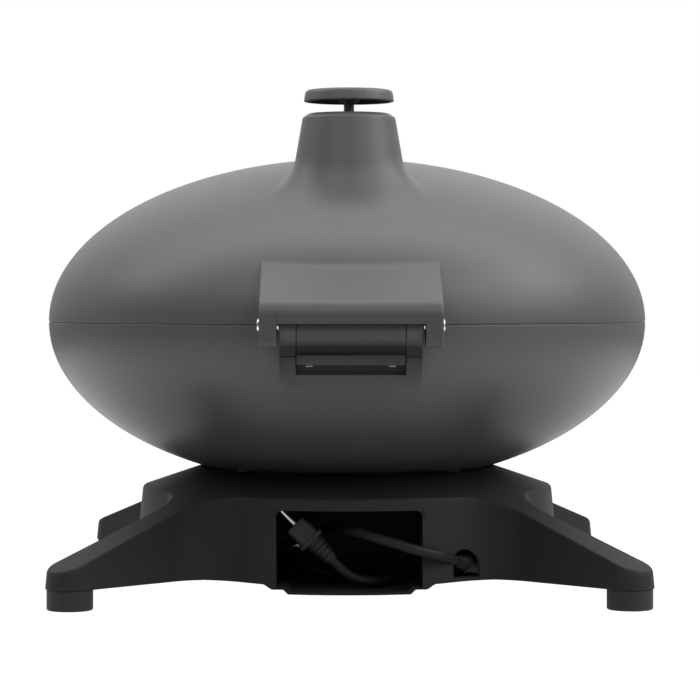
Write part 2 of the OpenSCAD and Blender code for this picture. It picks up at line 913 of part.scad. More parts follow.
module foot(i) {
    color(rubber) translate([leg_ends[i][0], leg_ends[i][1], 0]) difference() {
        rotate_extrude() union() {
            square([foot_r - foot_edge, base_low]);
            translate([0, foot_edge]) square([foot_r, base_low - foot_edge]);
            translate([foot_r - foot_edge, foot_edge]) circle(r = foot_edge);
        }
        translate([0, 0, -1]) cylinder(r = foot_well_r, h = foot_well_h + 1);
        cylinder(r = foot_screw_r + hold, h = base_low + 1);
    }
}

module foot_rear_left() {
    foot(0);
}

module foot_rear_right() {
    foot(1);
}

module foot_front_right() {
    foot(2);
}

module foot_front_left() {
    foot(3);
}

module foot_screws() {
    color(steel) at_feet() translate([0, 0, foot_well_h]) {
        translate([0, 0, -foot_screw_head_t]) cylinder(r = foot_well_r - 1, h = foot_screw_head_t);
        cylinder(r = foot_screw_r, h = foot_screw_l);
    }
}

module underside_cover() {
    color(black) translate([0, 0, base_low]) difference() {
        cylinder(r = base_r - base_wall - touch, h = cover_plate_t);
        translate([-tub_outer - touch, tub_front - tub_wall - touch, -1])
            cube([2 * (tub_outer + touch), far, cover_plate_t + 2]);
        translate([0, 0, -base_low - 1]) at_cover_screws()
            cylinder(r = cover_hole_r + hold, h = cover_plate_t + 2);
    }
}

module cover_screws() {
    color(steel) at_cover_screws() {
        translate([0, 0, -cover_screw_head_t]) cylinder(r = 2 * cover_hole_r, h = cover_screw_head_t);
        cylinder(r = cover_hole_r, h = cover_screw_l);
    }
}

// Cord compartment
tub_outer = tub_w / 2 + tub_wall;
tub_step = 4;
tub_slope = 4.4;
tub_narrow = 8.5;
tub_door_x = 42;
tub_door_l = 40;
tub_door_h = 40;

// Cross-section of the tub in x and z, carried along y
module tub_section(grow, length) {
    w = tub_w / 2 + grow + (grow >= 0 ? tub_wall : 0);
    lift = grow >= 0 ? -grow : tub_wall;
    low = tub_low + lift;
    top = grow > 0 ? tub_top : shelf_z - base_wall;
    rotate([90, 0, 0]) translate([0, 0, -length]) linear_extrude(length)
        polygon([[-w, top], [-w, low + tub_step], [tub_narrow + touch - w, low + tub_step],
            [tub_narrow + tub_slope - w, low], [w - tub_narrow - tub_slope, low],
            [w - tub_narrow - touch, low + tub_step], [w, low + tub_step], [w, top]]);
}

module cord_tub() {
    color(black) difference() {
        intersection() {
            translate([0, tub_front - tub_wall, 0]) tub_section(0, base_r);
            cylinder(r = base_r, h = far);
        }
        translate([0, tub_front, 0]) tub_section(-touch, base_r + 1);
        translate([tub_door_x, 0, base_low + cover_plate_t]) cube([far, tub_front + tub_door_l, tub_door_h]);
    }
}

// A point at a distance outside the round wall, by azimuth and height
function by_wall(out, az, z) = [(base_r + out) * cos(az), (base_r + out) * sin(az), z];

// A point in the tub, its depth as a share of the way from the tub's front wall to the round wall
function in_tub(x, share, z) = [x, tub_front + share * (base_r - tub_front), z];

// Gland in its niche: the axis follows the round wall and rises a little
niche_az = 121;
niche_z = 33;
niche_r = 12;
niche_depth = 20;
gland_back = 3.2;
gland_turn = 2;
gland_drop = 1.5;
gland_az = 46;
gland_rise = 14;
gland_r = 7;
gland_in = 16;
gland_out = 14;
gland_flange_t = 3;
gland_flange_w = 1.5;
gland_foot = by_wall(-gland_back, niche_az + gland_turn, niche_z - gland_drop);
gland_dir = [cos(gland_rise) * cos(gland_az), cos(gland_rise) * sin(gland_az), sin(gland_rise)];

module at_gland() {
    translate(gland_foot) rotate([0, 90 - gland_rise, gland_az]) children();
}

module niche_cut() {
    radial(niche_az, base_r - niche_depth, niche_z) {
        cylinder(r = niche_r, h = far);
        translate([0, -niche_r, 0]) cube([niche_z, 2 * niche_r, far]);
    }
    at_gland() cylinder(r = gland_r + 2, h = 3 * niche_depth);
}

module cord_gland() {
    color(rubber) at_gland() rotate_extrude() polygon([[0, -gland_in], [gland_r, -gland_in], [gland_r, 0],
        [gland_r + gland_flange_w, 0], [gland_r + gland_flange_w, gland_flange_t], [gland_r, gland_flange_t],
        [cord_d / 2 + 1, gland_out], [0, gland_out]]);
}

// Sweeps a round section along a list of points; each ring stands across its bend
cord_sides = 10;

function unit(v) = v / norm(v);

function heading(p, i) = unit(p[min(i + 1, len(p) - 1)] - p[max(i - 1, 0)]);

function ring_at(c, t, r, n) = let (
    across = unit(cross(t, [0, 0, 1])),
    up = cross(across, t)
) [for (k = [0:n - 1]) c + r * (cos(360 * k / n) * across + sin(360 * k / n) * up)];

function tube_points(p, r, n) = [for (i = [0:len(p) - 1]) each ring_at(p[i], heading(p, i), r, n)];

function tube_faces(m, n) = concat(
    [for (i = [0:m - 2], k = [0:n - 1]) let (
        a = i * n + k,
        b = i * n + (k + 1) % n
    ) each [[a, b, b + n], [a, b + n, a + n]]],
    [for (k = [1:n - 2]) [0, k + 1, k]],
    [for (k = [1:n - 2]) let (s = (m - 1) * n) [s, s + k, s + k + 1]]);

module tube(p, r, n) {
    polyhedron(tube_points(p, r, n), tube_faces(len(p), n));
}

// Stored coil: a spiral in, a climb, and a spiral out again on top
coil_c = [122, 28];
coil_r = 52;
coil_pitch = cord_d + 0.6;
coil_z = base_low + cover_plate_t + 1.7 + cord_d / 2;
coil_climb = 0.5;
coil_rings = 24;
coil_sides = 6;
coil_half = (coil_turns - coil_climb) / 2;

function coil_depth(t) = coil_half - abs(t - coil_turns / 2) + coil_climb / 2;

function coil_point(t) = let (
    r = coil_r - coil_pitch * min(coil_depth(t), coil_half),
    rise = max(0, min(1, (t - coil_half) / coil_climb)),
    az = 90 - 360 * t
) [coil_c[0] + r * cos(az), coil_c[1] + r * sin(az), coil_z + coil_pitch * rise];

coil_n = round(coil_turns * coil_rings);
coil_route = concat([coil_point(0) - [cord_d, 0, 0]],
    [for (i = [0:coil_n]) coil_point(i * coil_turns / coil_n)],
    [coil_point(coil_turns) + [0, cord_d, 0]]);

// Least gap between turns, on points at least half a turn apart
coil_gap = min([for (i = [0:len(coil_route) - 1], j = [0:len(coil_route) - 1])
    if (j - i > coil_rings / 2) norm(coil_route[i] - coil_route[j])]) - cord_d;
echo(least_gap_in_coil = coil_gap);

// Cord from the gland into the tub and on to the coil
cord_start = gland_foot + gland_out * gland_dir;
rear_route = concat([cord_start, cord_start + cord_d * gland_dir],
    [by_wall(9.7, 111.9, 42), by_wall(11.4, 106.4, 47), by_wall(4.7, 101, 53), by_wall(-8.1, 95.6, 58),
        in_tub(0, 0.79, 62), in_tub(12, 0.61, 63), in_tub(24, 0.43, 59.5), in_tub(42, 0.26, 50.5),
        [66, tub_front + 2 * cord_d, 39], [90, tub_front + cord_d + 1, 31]],
    [coil_route[0] - [cord_d, 0, 0], coil_route[0]]);

// Cord from the coil to the plug
plug_tail = in_tub(15, 0.77, 35);
plug_tilt = 45;
plug_dir = [sin(plug_tilt), 0, cos(plug_tilt)];
front_route = concat([coil_route[len(coil_route) - 1], coil_route[len(coil_route) - 1] + [0, cord_d, 0]],
    [[67, tub_front - cord_d + 1, 33], in_tub(58, 0.05, 28), in_tub(42, 0.12, 22.5), in_tub(22, 0.13, 17),
        in_tub(2, 0.12, 14.2), in_tub(-19, 0.16, 14.2), in_tub(-33, 0.27, 14.2), in_tub(-38, 0.43, 14.2),
        in_tub(-33, 0.58, 14.2), in_tub(-18, 0.71, 15.2), in_tub(-2, 0.755, 20)],
    [plug_tail - cord_d * plug_dir, plug_tail]);

module cord_rear() {
    color(rubber) tube(rear_route, cord_d / 2, cord_sides);
}

module cord_coil() {
    color(rubber) tube(coil_route, cord_d / 2, coil_sides);
}

module cord_front() {
    color(rubber) tube(front_route, cord_d / 2, cord_sides);
}

tie_t = 1.2;
tie_w = 8;
tie_az = -30;

module coil_tie() {
    r0 = coil_r - coil_pitch * coil_half - cord_d / 2 - slack;
    r1 = coil_r + cord_d / 2 + slack;
    z0 = coil_z - cord_d / 2 - slack;
    h = coil_pitch + cord_d + 2 * slack;
    color(black) translate([coil_c[0], coil_c[1], z0]) rotate([0, 0, tie_az]) difference() {
        translate([r0 - tie_t, -tie_w / 2, -tie_t]) cube([r1 - r0 + 2 * tie_t, tie_w, h + 2 * tie_t]);
        translate([r0, -tie_w, 0]) cube([r1 - r0, 2 * tie_w, h]);
    }
}

// Plug: a tapered tail, a flange and a front body along its own axis
plug_tail_l = 25;
plug_tail_r = 9;
plug_flange_t = 4;
plug_body_l = 18;
plug_flange_size = [26, 38];
plug_body_size = [21, 35];
plug_corner = 6;
plug_pin_pitch = 19;
plug_pin_r = 2;
plug_pin_l = 17;

module rounded(size, r) {
    square(size - [2 * r, 0], center = true);
    square(size - [0, 2 * r], center = true);
    for (x = [-1, 1], y = [-1, 1])
        translate([x * (size[0] / 2 - r), y * (size[1] / 2 - r)]) circle(r = r);
}

module at_plug(l) {
    translate(plug_tail + l * plug_dir) rotate([0, plug_tilt, 0]) children();
}

module plug_body() {
    color("#3c3d44") union() {
        at_plug(0) cylinder(r1 = cord_d / 2 + 1.5, r2 = plug_tail_r, h = plug_tail_l + 1);
        at_plug(plug_tail_l) linear_extrude(plug_flange_t) rounded(plug_flange_size, plug_corner);
        at_plug(plug_tail_l + 1) linear_extrude(plug_flange_t + plug_body_l - 1)
            rounded(plug_body_size, plug_corner);
    }
}

module plug_pins() {
    color(steel) for (s = [-1, 1])
        at_plug(plug_tail_l + plug_flange_t + plug_body_l) translate([0, s * plug_pin_pitch / 2, 0])
            cylinder(r = plug_pin_r, h = plug_pin_l);
}

// Control
boss_face = base_r + boss_out;
thermostat_size = [34, 34, 24];
thermostat_face = base_r - boss_in;
thermostat_dir = [cos(control_az), sin(control_az), 0];
thermostat_rear = (thermostat_face - thermostat_size[2]) * thermostat_dir + [0, 0, control_z];
dial_r = boss_r - 0.5;
knob_gap = 0.6;
knob_cap = 6;
ridge_w = 5;
ridge_out = 2;
spindle_seat = 4;
pilot_az = -111;
pilot_r = 4;
pilot_in = 6;
pilot_out = 2;

module dial_plate() {
    color("#a9a9a6") radial(control_az, boss_face, control_z) difference() {
        cylinder(r = dial_r, h = dial_t);
        translate([0, 0, -1]) cylinder(r = spindle_r + slack, h = dial_t + 2);
    }
}

module thermostat() {
    color("#b9b2a0") radial(control_az, thermostat_face - thermostat_size[2], control_z) difference() {
        translate([-thermostat_size[0] / 2, -thermostat_size[1] / 2, 0]) cube(thermostat_size);
        translate([0, 0, spindle_seat]) cylinder(r = spindle_r + run, h = thermostat_size[2]);
    }
}

module pilot_lens() {
    color("#c4331f") radial(pilot_az, base_r - base_wall - pilot_in, control_z) {
        cylinder(r = pilot_r, h = base_wall + pilot_in);
        translate([0, 0, base_wall + pilot_in + touch]) cylinder(r = pilot_r + 1, h = pilot_out);
        cylinder(r = pilot_r - 1, h = base_wall + pilot_in + pilot_out);
    }
}

module control_knob() {
    color(black) radial(control_az, boss_face + dial_t + knob_gap, control_z) difference() {
        union() {
            cylinder(r = knob_r, h = knob_h - knob_cap);
            cylinder(r = knob_r - knob_cap / 2, h = knob_h);
            translate([1 - knob_r, -ridge_w / 2, 0]) cube([knob_r, ridge_w, knob_h + ridge_out]);
        }
        translate([0, 0, -1]) cylinder(r = spindle_r + hold, h = knob_h - knob_cap + 2);
    }
}

module knob_spindle() {
    start = thermostat_face - thermostat_size[2] + spindle_seat + slack;
    color(steel) radial(control_az, start, control_z)
        cylinder(r = spindle_r, h = boss_face + dial_t + knob_gap + knob_h - knob_cap - start);
}

// Wiring inside the base
block_size = [28, 44, 18];
block_at = [-132, 30, base_low + cover_plate_t];
block_hole_x = 6;
block_hole_pitch = 8;
block_hole_r = 2.5;
block_hole_h = 6;
wire_r = 3;
wire_room = 4.5;
wire_sides = 8;
loom_z = shelf_z - base_wall - wire_r - wire_room;
lead_end = block_at + [block_size[0] / 2, block_size[1], block_size[2] / 2 + 1];
loom_start = block_at + [block_size[0] / 2, 0, block_size[2] / 2 + 1];
gland_end = gland_foot - gland_in * gland_dir;
lead_route = concat([gland_end, gland_end - cord_d * gland_dir],
    [by_wall(-12, 134.1, 27), by_wall(-19, 138.5, 27), by_wall(-32, 141.8, 28)],
    [lead_end + [0, cord_d, 0], lead_end]);
loom_route = concat([loom_start, loom_start - [0, 2 * wire_r, 0]],
    [[-117, 4, 36], [-112, -30, 50], [-98, -66, loom_z - 7], [-78, -108, loom_z], [-40, -127, loom_z],
        [0, -132, loom_z], [30, -129, loom_z], [50, -125, loom_z - 1], [62, -129, loom_z - 9]],
    [thermostat_rear - 2 * wire_r * thermostat_dir, thermostat_rear]);

module terminal_block() {
    color("#cfcabb") translate(block_at) difference() {
        cube(block_size);
        for (i = [0:2])
            translate([block_hole_x + block_hole_pitch * i, block_size[1] / 2, block_size[2] - block_hole_h])
                cylinder(r = block_hole_r, h = block_hole_h + 1);
    }
}

module mains_lead() {
    color(rubber) tube(lead_route, cord_d / 2, cord_sides);
}

module wiring_loom() {
    color("#7a3b2e") tube(loom_route, wire_r, wire_sides);
}

// Drip tray and its runners
runner_play = 0.5;
runner_lip = 7;
runner_x = tray_w / 2 + runner_play;
runner_front = -110;
panel_w = tray_w + 7;
panel_z = tray_z - 6;
panel_t = 4;
pull_r = 60;
pull_out = 17;
pull_t = 5;

module runner() {
    low = tray_z - slack - runner_t;
    translate([runner_x, runner_front, low])
        cube([runner_t, tub_front - tub_wall - 4 - runner_front, shelf_z - base_wall - low]);
    translate([runner_x - runner_lip, runner_front, low])
        cube([runner_lip + runner_t, tub_front - tub_wall - 4 - runner_front, runner_t]);
}

module runner_left() {
    color(steel) runner();
}

module runner_right() {
    color(steel) mirror([1, 0, 0]) runner();
}

module drip_tray() {
    inner_r = base_r - panel_t;
    color(steel) {
        difference() {
            intersection() {
                translate([-tray_w / 2, -base_r, tray_z]) cube([tray_w, base_r + tray_rear, tray_h]);
                cylinder(r = inner_r + 1, h = far);
            }
            translate([0, 0, tray_z + tray_wall]) intersection() {
                translate([tray_wall - tray_w / 2, -base_r, 0])
                    cube([tray_w - 2 * tray_wall, base_r + tray_rear - tray_wall, far]);
                cylinder(r = inner_r - 3, h = far);
            }
        }
        intersection() {
            difference() {
                cylinder(r = base_r, h = far);
                cylinder(r = inner_r, h = far);
            }
            translate([-panel_w / 2, -far, panel_z]) cube([panel_w, far, panel_h]);
        }
        difference() {
            translate([0, pull_r - base_r - pull_out, panel_z + panel_h / 2]) cylinder(r = pull_r, h = pull_t);
            cylinder(r = base_r - 1, h = far);
        }
    }
}

lid_shell();
lid_flue();
lid_hinge_cover();
hinge_pin_left();
hinge_pin_right();
handle_grip();
handle_post_left();
handle_post_right();
damper_guide();
damper_cap();
damper_stem();
damper_clip();
bowl_shell();
drain_collar();
hinge_bracket();
hinge_block();
hinge_bush_left();
hinge_bush_right();
hinge_screws();
grate_left();
grate_right();
reflector();
heating_element();
element_posts();
element_bushes();
base_shell();
bowl_pads();
bowl_screws();
foot_front_left();
foot_front_right();
foot_rear_left();
foot_rear_right();
foot_screws();
underside_cover();
cover_screws();
cord_tub();
cord_gland();
cord_rear();
cord_coil();
cord_front();
coil_tie();
plug_body();
plug_pins();
terminal_block();
mains_lead();
wiring_loom();
runner_left();
runner_right();
drip_tray();
dial_plate();
thermostat();
pilot_lens();
control_knob();
knob_spindle();
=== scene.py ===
import math

import bmesh
import bpy
import numpy as np
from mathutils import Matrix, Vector


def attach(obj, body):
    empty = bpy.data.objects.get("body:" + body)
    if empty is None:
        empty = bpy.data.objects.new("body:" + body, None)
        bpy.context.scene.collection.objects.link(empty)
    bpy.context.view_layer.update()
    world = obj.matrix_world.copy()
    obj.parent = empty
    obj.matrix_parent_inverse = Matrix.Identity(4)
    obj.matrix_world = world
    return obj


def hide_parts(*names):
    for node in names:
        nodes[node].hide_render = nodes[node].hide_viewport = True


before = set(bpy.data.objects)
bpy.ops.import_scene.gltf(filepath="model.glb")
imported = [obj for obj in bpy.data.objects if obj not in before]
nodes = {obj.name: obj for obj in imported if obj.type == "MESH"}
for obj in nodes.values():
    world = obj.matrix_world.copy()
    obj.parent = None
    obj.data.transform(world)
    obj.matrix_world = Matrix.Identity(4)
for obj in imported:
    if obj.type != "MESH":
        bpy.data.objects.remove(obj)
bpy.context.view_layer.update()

# Camera
# The grill is seen from behind, from a little above the seam between lid and bowl, with a long lens.
MM = 0.001
eye = Vector((29, 2606, 273.5)) * MM
aim = Vector((-2.74, 0, 217.8)) * MM
lens = bpy.data.cameras.new("camera")
lens.lens = 141.9
lens.sensor_width = 36
lens.clip_end = 20
camera = bpy.data.objects.new("camera", lens)
camera.location = eye
camera.rotation_euler = (aim - eye).to_track_quat("-Z", "Y").to_euler()
bpy.context.scene.collection.objects.link(camera)
bpy.context.scene.camera = camera
bpy.context.scene.view_settings.view_transform = "Standard"

# Mains cord
# A round lead of 9 mm in an extruded sheath. It leaves the gland, crosses the rear compartment, lies in a
# tied coil inside the base and comes back to the plug that is stowed in the compartment.
CORD_D, CORD_SIDES = 9.0, 20


def unit(v):
    """Each row of an array divided by its own length."""
    return v / np.linalg.norm(v, axis=-1, keepdims=True)


def through(points, steps):
    """A smooth line through route points: on each stretch a cubic whose slope at a point is half the way
    between its two neighbours, sampled a fixed number of times."""
    p = np.asarray(points, float)
    p = np.vstack([2 * p[0] - p[1], p, 2 * p[-1] - p[-2]])
    t = (np.arange(steps) / steps)[None, :, None]
    a, b, c, d = (p[i:len(p) - 3 + i, None, :] for i in range(4))
    square, cube = 2 * a - 5 * b + 4 * c - d, 3 * b - a - 3 * c + d
    line = 0.5 * (2 * b + (c - a) * t + square * t ** 2 + cube * t ** 3)
    return np.vstack([line.reshape(-1, 3), p[-2]])


def linear(hex_colour):
    """An sRGB hex colour as linear red, green, blue and alpha."""
    c = np.array([int(hex_colour[i:i + 2], 16) for i in (1, 3, 5)]) / 255
    return (*np.where(c <= 0.04045, c / 12.92, ((c + 0.055) / 1.055) ** 2.4), 1.0)


def add(tree, kind, inputs=None, **settings):
    """One shader node with its settings; an input that is a socket is linked, any other is a plain value."""
    n = tree.nodes.new("ShaderNode" + kind)
    for key, value in settings.items():
        setattr(n, key, value)
    for key, value in (inputs or {}).items():
        if isinstance(value, bpy.types.NodeSocket):
            tree.links.new(value, n.inputs[key])
        else:
            n.inputs[key].default_value = value
    return n


def per_mm(size):
    """Scale of a pattern on Object coordinates, in metres, whose grain is that many millimetres."""
    return 1000.0 / size


def finish_of(name, dark, light, rough, drift_mm, detail, gloss=0.5, metal=0.0, relief=None, stretch=None):
    """A material whose colour and roughness drift together, each between two values, with a noise of a size
    in millimetres that stretch may draw out along an axis. Relief is the size and the strength of a finer
    grain, also a noise, that stands up as a bump of 0.2 mm."""
    mat = bpy.data.materials.new(name)
    mat.use_nodes = True
    t = mat.node_tree
    shader = t.nodes["Principled BSDF"]
    shader.inputs["Specular IOR Level"].default_value = gloss
    shader.inputs["Metallic"].default_value = metal
    where = add(t, "TexCoord").outputs["Object"]
    drawn = add(t, "Mapping", {"Vector": where, "Scale": stretch}).outputs["Vector"] if stretch else where
    drift = add(t, "TexNoise", {"Vector": drawn, "Scale": per_mm(drift_mm), "Detail": detail}).outputs["Fac"]
    tone = add(t, "MixRGB", {"Fac": drift, "Color1": linear(dark), "Color2": linear(light)})
    sheen = add(t, "MapRange", {"Value": drift, "To Min": rough[0], "To Max": rough[1]})
    t.links.new(tone.outputs["Color"], shader.inputs["Base Color"])
    t.links.new(sheen.outputs["Result"], shader.inputs["Roughness"])
    if relief:
        grain_mm, height = relief
        grain = add(t, "TexNoise", {"Vector": where, "Scale": per_mm(grain_mm), "Detail": 2.0})
        bump = add(t, "Bump", {"Height": grain.outputs["Fac"], "Strength": height, "Distance": 0.2 * MM})
        t.links.new(bump.outputs["Normal"], shader.inputs["Normal"])
    return mat


def as_object(name, mesh, sharp):
    """Merges doubles, turns faces outwards, smooths all but bends past an angle, and makes the object."""
    b = bmesh.new()
    b.from_mesh(mesh)
    bmesh.ops.remove_doubles(b, verts=b.verts, dist=1e-6)
    bmesh.ops.dissolve_degenerate(b, edges=b.edges, dist=1e-7)
    bmesh.ops.recalc_face_normals(b, faces=b.faces)
    b.to_mesh(mesh)
    b.free()
    mesh.polygons.foreach_set("use_smooth", np.ones(len(mesh.polygons), bool))
    mesh.set_sharp_from_angle(angle=math.radians(sharp))
    obj = bpy.data.objects.new(name, mesh)
    bpy.context.scene.collection.objects.link(obj)
    return obj


def surface(name, grid, wrap_rows=False, wrap_columns=False, caps=(), sharp=35):
    """A mesh over a grid of points in millimetres, rows by columns. Rows or columns may join end to end,
    caps names the rows that get a flat end face, coinciding points are merged, and edges that bend past an
    angle stay sharp."""
    m, n = grid.shape[:2]
    index = np.arange(m * n).reshape(m, n)
    r = np.arange(m if wrap_rows else m - 1)
    c = np.arange(n if wrap_columns else n - 1)
    r, c = np.meshgrid(r, c, indexing="ij")
    below, beside = (r + 1) % m, (c + 1) % n
    quads = np.stack([index[r, c], index[r, beside], index[below, beside], index[below, c]], -1)
    ends = [index[row].tolist() for row in caps]
    mesh = bpy.data.meshes.new(name)
    mesh.from_pydata((grid.reshape(-1, 3) * MM).tolist(), [], quads.reshape(-1, 4).tolist() + ends)
    return as_object(name, mesh, sharp)


def tube(name, path, radius, sides):
    """A round section carried along a path: each ring stands on the path's level and its upright normal."""
    ahead = unit(np.gradient(path, axis=0))
    side = unit(np.cross(ahead, [0, 0, 1]))
    up = np.cross(side, ahead)
    turn = np.linspace(0, 2 * np.pi, sides, endpoint=False)[None, :, None]
    ring = path[:, None, :] + radius * (np.cos(turn) * side[:, None, :] + np.sin(turn) * up[:, None, :])
    return surface(name, ring, wrap_columns=True, caps=(0, -1))


def coat(obj, material):
    """Gives an object one material in place of any that it has."""
    obj.data.materials.clear()
    obj.data.materials.append(material)


def dress(obj, material, body, slot, *replaced):
    """Gives a new piece its material and its body, and hides the solids that it stands for. The slot is not
    used.
    """
    coat(obj, material)
    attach(obj, body)
    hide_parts(*replaced)


# PVC, extruded: an even dull black with a faint waxy sheen that varies every few millimetres.
pvc_sheath = finish_of("extruded_pvc_sheath", "#121214", "#1b1b1d", (0.5, 0.62), 6, 3.0, gloss=0.3)

# The lead comes straight out of the gland's sleeve and goes straight into the plug's tail.
SLEEVE_LEN = 14.0
gland_foot = np.array([-103.9, 160.0, 31.5])
rise, swing = math.radians(14), math.radians(46)
gland_way = np.array([math.cos(rise) * math.cos(swing), math.cos(rise) * math.sin(swing), math.sin(rise)])
cord_start = gland_foot + SLEEVE_LEN * gland_way
plug_tilt = math.radians(45)
plug_tail = np.array([15.0, 165.9, 35.0])
plug_way = np.array([math.sin(plug_tilt), 0, math.cos(plug_tilt)])

# The coil winds inwards in a lower layer, climbs, and winds outwards again in an upper one.
COIL_TURNS, COIL_CLIMB, COIL_PITCH = 3.75, 0.5, CORD_D + 0.6
COIL_X, COIL_Y, COIL_Z, COIL_R = 122.0, 28.0, 26.2, 52.0
COIL_POINTS = 241
turns = np.linspace(0, COIL_TURNS, COIL_POINTS)
layer = (COIL_TURNS - COIL_CLIMB) / 2
wound = np.minimum(layer - np.abs(turns - COIL_TURNS / 2) + COIL_CLIMB / 2, layer)
coil_r = COIL_R - COIL_PITCH * wound
coil_az = np.radians(90 - 360 * turns)
coil_z = COIL_Z + COIL_PITCH * np.clip((turns - layer) / COIL_CLIMB, 0, 1)
coil = np.stack([COIL_X + coil_r * np.cos(coil_az), COIL_Y + coil_r * np.sin(coil_az), coil_z], -1)

ROUTE_STEPS = 5
rear_points = [[-76, 189, 42], [-58, 197, 47], [-38, 195, 53], [-18, 185, 58], [0, 168, 62], [12, 146, 63],
               [24, 124, 59.5], [42, 104, 50.5], [66, 90, 39], [90, 82, 31]]
rear_run = through(np.vstack([
    cord_start, cord_start + CORD_D * gland_way, rear_points,
    coil[0] - [2 * CORD_D, 0, 0], coil[0] - [CORD_D, 0, 0], coil[0]]), ROUTE_STEPS)
front_points = [[67, 64, 33], [58, 78, 28], [42, 87, 22.5], [22, 88, 17], [2, 86, 14.2], [-19, 91, 14.2],
                [-33, 105, 14.2], [-38, 124, 14.2], [-33, 143, 14.2], [-18, 158, 15.2], [-2, 164, 20]]
front_run = through(np.vstack([
    coil[-1], coil[-1] + [0, CORD_D, 0], coil[-1] + [0, 2 * CORD_D, 0], front_points,
    plug_tail - CORD_D * plug_way, plug_tail]), ROUTE_STEPS)
cord_path = np.vstack([rear_run[:-1], coil[:-1], front_run])
mains_cord = tube("mains_cord", cord_path, CORD_D / 2, CORD_SIDES)
dress(mains_cord, pvc_sheath, "base", "cord_rubber", "cord_rear", "cord_coil", "cord_front")

# Gland
# A moulded grommet with a collar and a ribbed, tapered sleeve that keeps the lead from kinking. It has the
# lead's own finish and sits in the wall of an arched niche.


def frame_of(ahead):
    """Two directions square to a given one and to each other, as rows, with the given one last."""
    ahead = unit(np.asarray(ahead, float))
    side = unit(np.cross(ahead, [0, 0, 1] if abs(ahead[2]) < 0.9 else [0, 1, 0]))
    return np.stack([side, np.cross(ahead, side), ahead])


def turned(name, profile, at, ahead, around, sharp=35):
    """A profile of radius and length turned once round an axis that runs a given way from a point."""
    profile = np.asarray(profile, float)
    a = np.linspace(0, 2 * np.pi, around, endpoint=False)
    side, up, way = frame_of(ahead)
    ring = np.cos(a)[:, None] * side + np.sin(a)[:, None] * up
    grid = np.asarray(at, float) + profile[:, 0, None, None] * ring[None] + profile[:, 1, None, None] * way
    return surface(name, grid, wrap_columns=True, sharp=sharp)


def eased(corners, radius, steps=5, closed=False):
    """A line through corner points with each corner rounded: the two legs are cut back by the same length, at
    most 0.45 of a leg, and joined by a quadratic curve, with a support point just outside each end so that
    flat stretches stay flat."""
    p = np.asarray(corners, float)
    r = np.broadcast_to(np.asarray(radius, float), len(p))
    before = np.roll(p, 1, axis=0)
    after = np.roll(p, -1, axis=0)
    s = np.linspace(0, 1, steps + 1)[:, None]
    out = []
    for i in range(len(p)):
        if (not closed and i in (0, len(p) - 1)) or r[i] == 0:
            out.append(p[i][None])
            continue
        la, lb = np.linalg.norm(before[i] - p[i]), np.linalg.norm(after[i] - p[i])
        cut_back = min(r[i], 0.45 * la, 0.45 * lb)
        da, db = (before[i] - p[i]) / la, (after[i] - p[i]) / lb
        start, end = p[i] + da * cut_back, p[i] + db * cut_back
        curve = start * (1 - s) ** 2 + p[i] * 2 * s * (1 - s) + end * s ** 2
        out.append(np.vstack([p[i] + da * cut_back * 1.1, curve, p[i] + db * cut_back * 1.1]))
    return np.vstack(out)


sleeve = [[0, -16], [7, -16], [7, 0], [8.5, 0], [8.5, 3], [7, 3], [6.7, 5], [6.2, 5.2], [6.2, 6.4],
          [6.6, 6.6], [6.3, 8.2], [5.8, 8.4], [5.8, 9.6], [6.2, 9.8], [5.9, 11.4], [5.4, 11.6],
          [5.4, SLEEVE_LEN], [0, SLEEVE_LEN]]
gland = turned("cord_gland_sleeve", eased(sleeve, 0.35, 3), gland_foot, gland_way, 64)
dress(gland, pvc_sheath, "base", "cord_rubber", "cord_gland")

# Plug
# A two-pin plug in soft rubber, moulded onto the lead: a tapered ribbed tail, a finger flange and a front
# block, with round plated pins.
TAIL_LEN, FLANGE_T, PLUG_LEN, PLUG_CORNER = 25.0, 4.0, 47.0, 7.0
RIB_COUNT, RIB_STEP = 4, np.array([0.7, 5.0])
PRONG_R, PRONG_LEN, PRONG_PITCH = 2.0, 17.0, 19.0


def block(name, outline, z0, z1, ease0, ease1, at=(0, 0, 0), axes=np.eye(3)):
    """A closed outline carried from z0 to z1 with both end edges rounded: near an end the outline shrinks
    along its corner normals as a quarter circle. The rows of axes are the outline's two directions and its
    normal."""
    p = np.asarray(outline, float)
    e = unit(np.roll(p, -1, axis=0) - p)
    n1 = np.stack([e[:, 1], -e[:, 0]], -1)
    n0 = np.roll(n1, 1, axis=0)
    normal = (n0 + n1) / (1 + (n0 * n1).sum(1, keepdims=True))
    area = 0.5 * (p[:, 0] * np.roll(p[:, 1], -1) - p[:, 1] * np.roll(p[:, 0], -1)).sum()
    normal *= np.sign(area)
    q = np.radians(np.linspace(0, 90, 5))
    inset = np.concatenate([ease0 * (1 - np.sin(q)), [0, 0], ease1 * (1 - np.cos(q))])
    level = np.concatenate([z0 + ease0 * (1 - np.cos(q)), [z0 + ease0 * 1.2, z1 - ease1 * 1.2],
                            z1 - ease1 + ease1 * np.sin(q)])
    flat = p[None] - inset[:, None, None] * normal[None]
    grid = np.concatenate([flat, np.broadcast_to(level[:, None, None], (*flat.shape[:2], 1))], -1)
    placed = np.asarray(at, float) + grid @ np.asarray(axes, float)
    return surface(name, placed, wrap_columns=True, caps=(0, -1))


def joined(name, *parts):
    """Several meshes kept as one piece, with their faces as they are."""
    b = bmesh.new()
    for part in parts:
        b.from_mesh(part.data)
        bpy.data.objects.remove(part)
    mesh = bpy.data.meshes.new(name)
    b.to_mesh(mesh)
    b.free()
    obj = bpy.data.objects.new(name, mesh)
    bpy.context.scene.collection.objects.link(obj)
    return obj


def oblong(w, h):
    """Corners of a rectangle round the origin."""
    return np.array([[-w, -h], [w, -h], [w, h], [-w, h]]) / 2


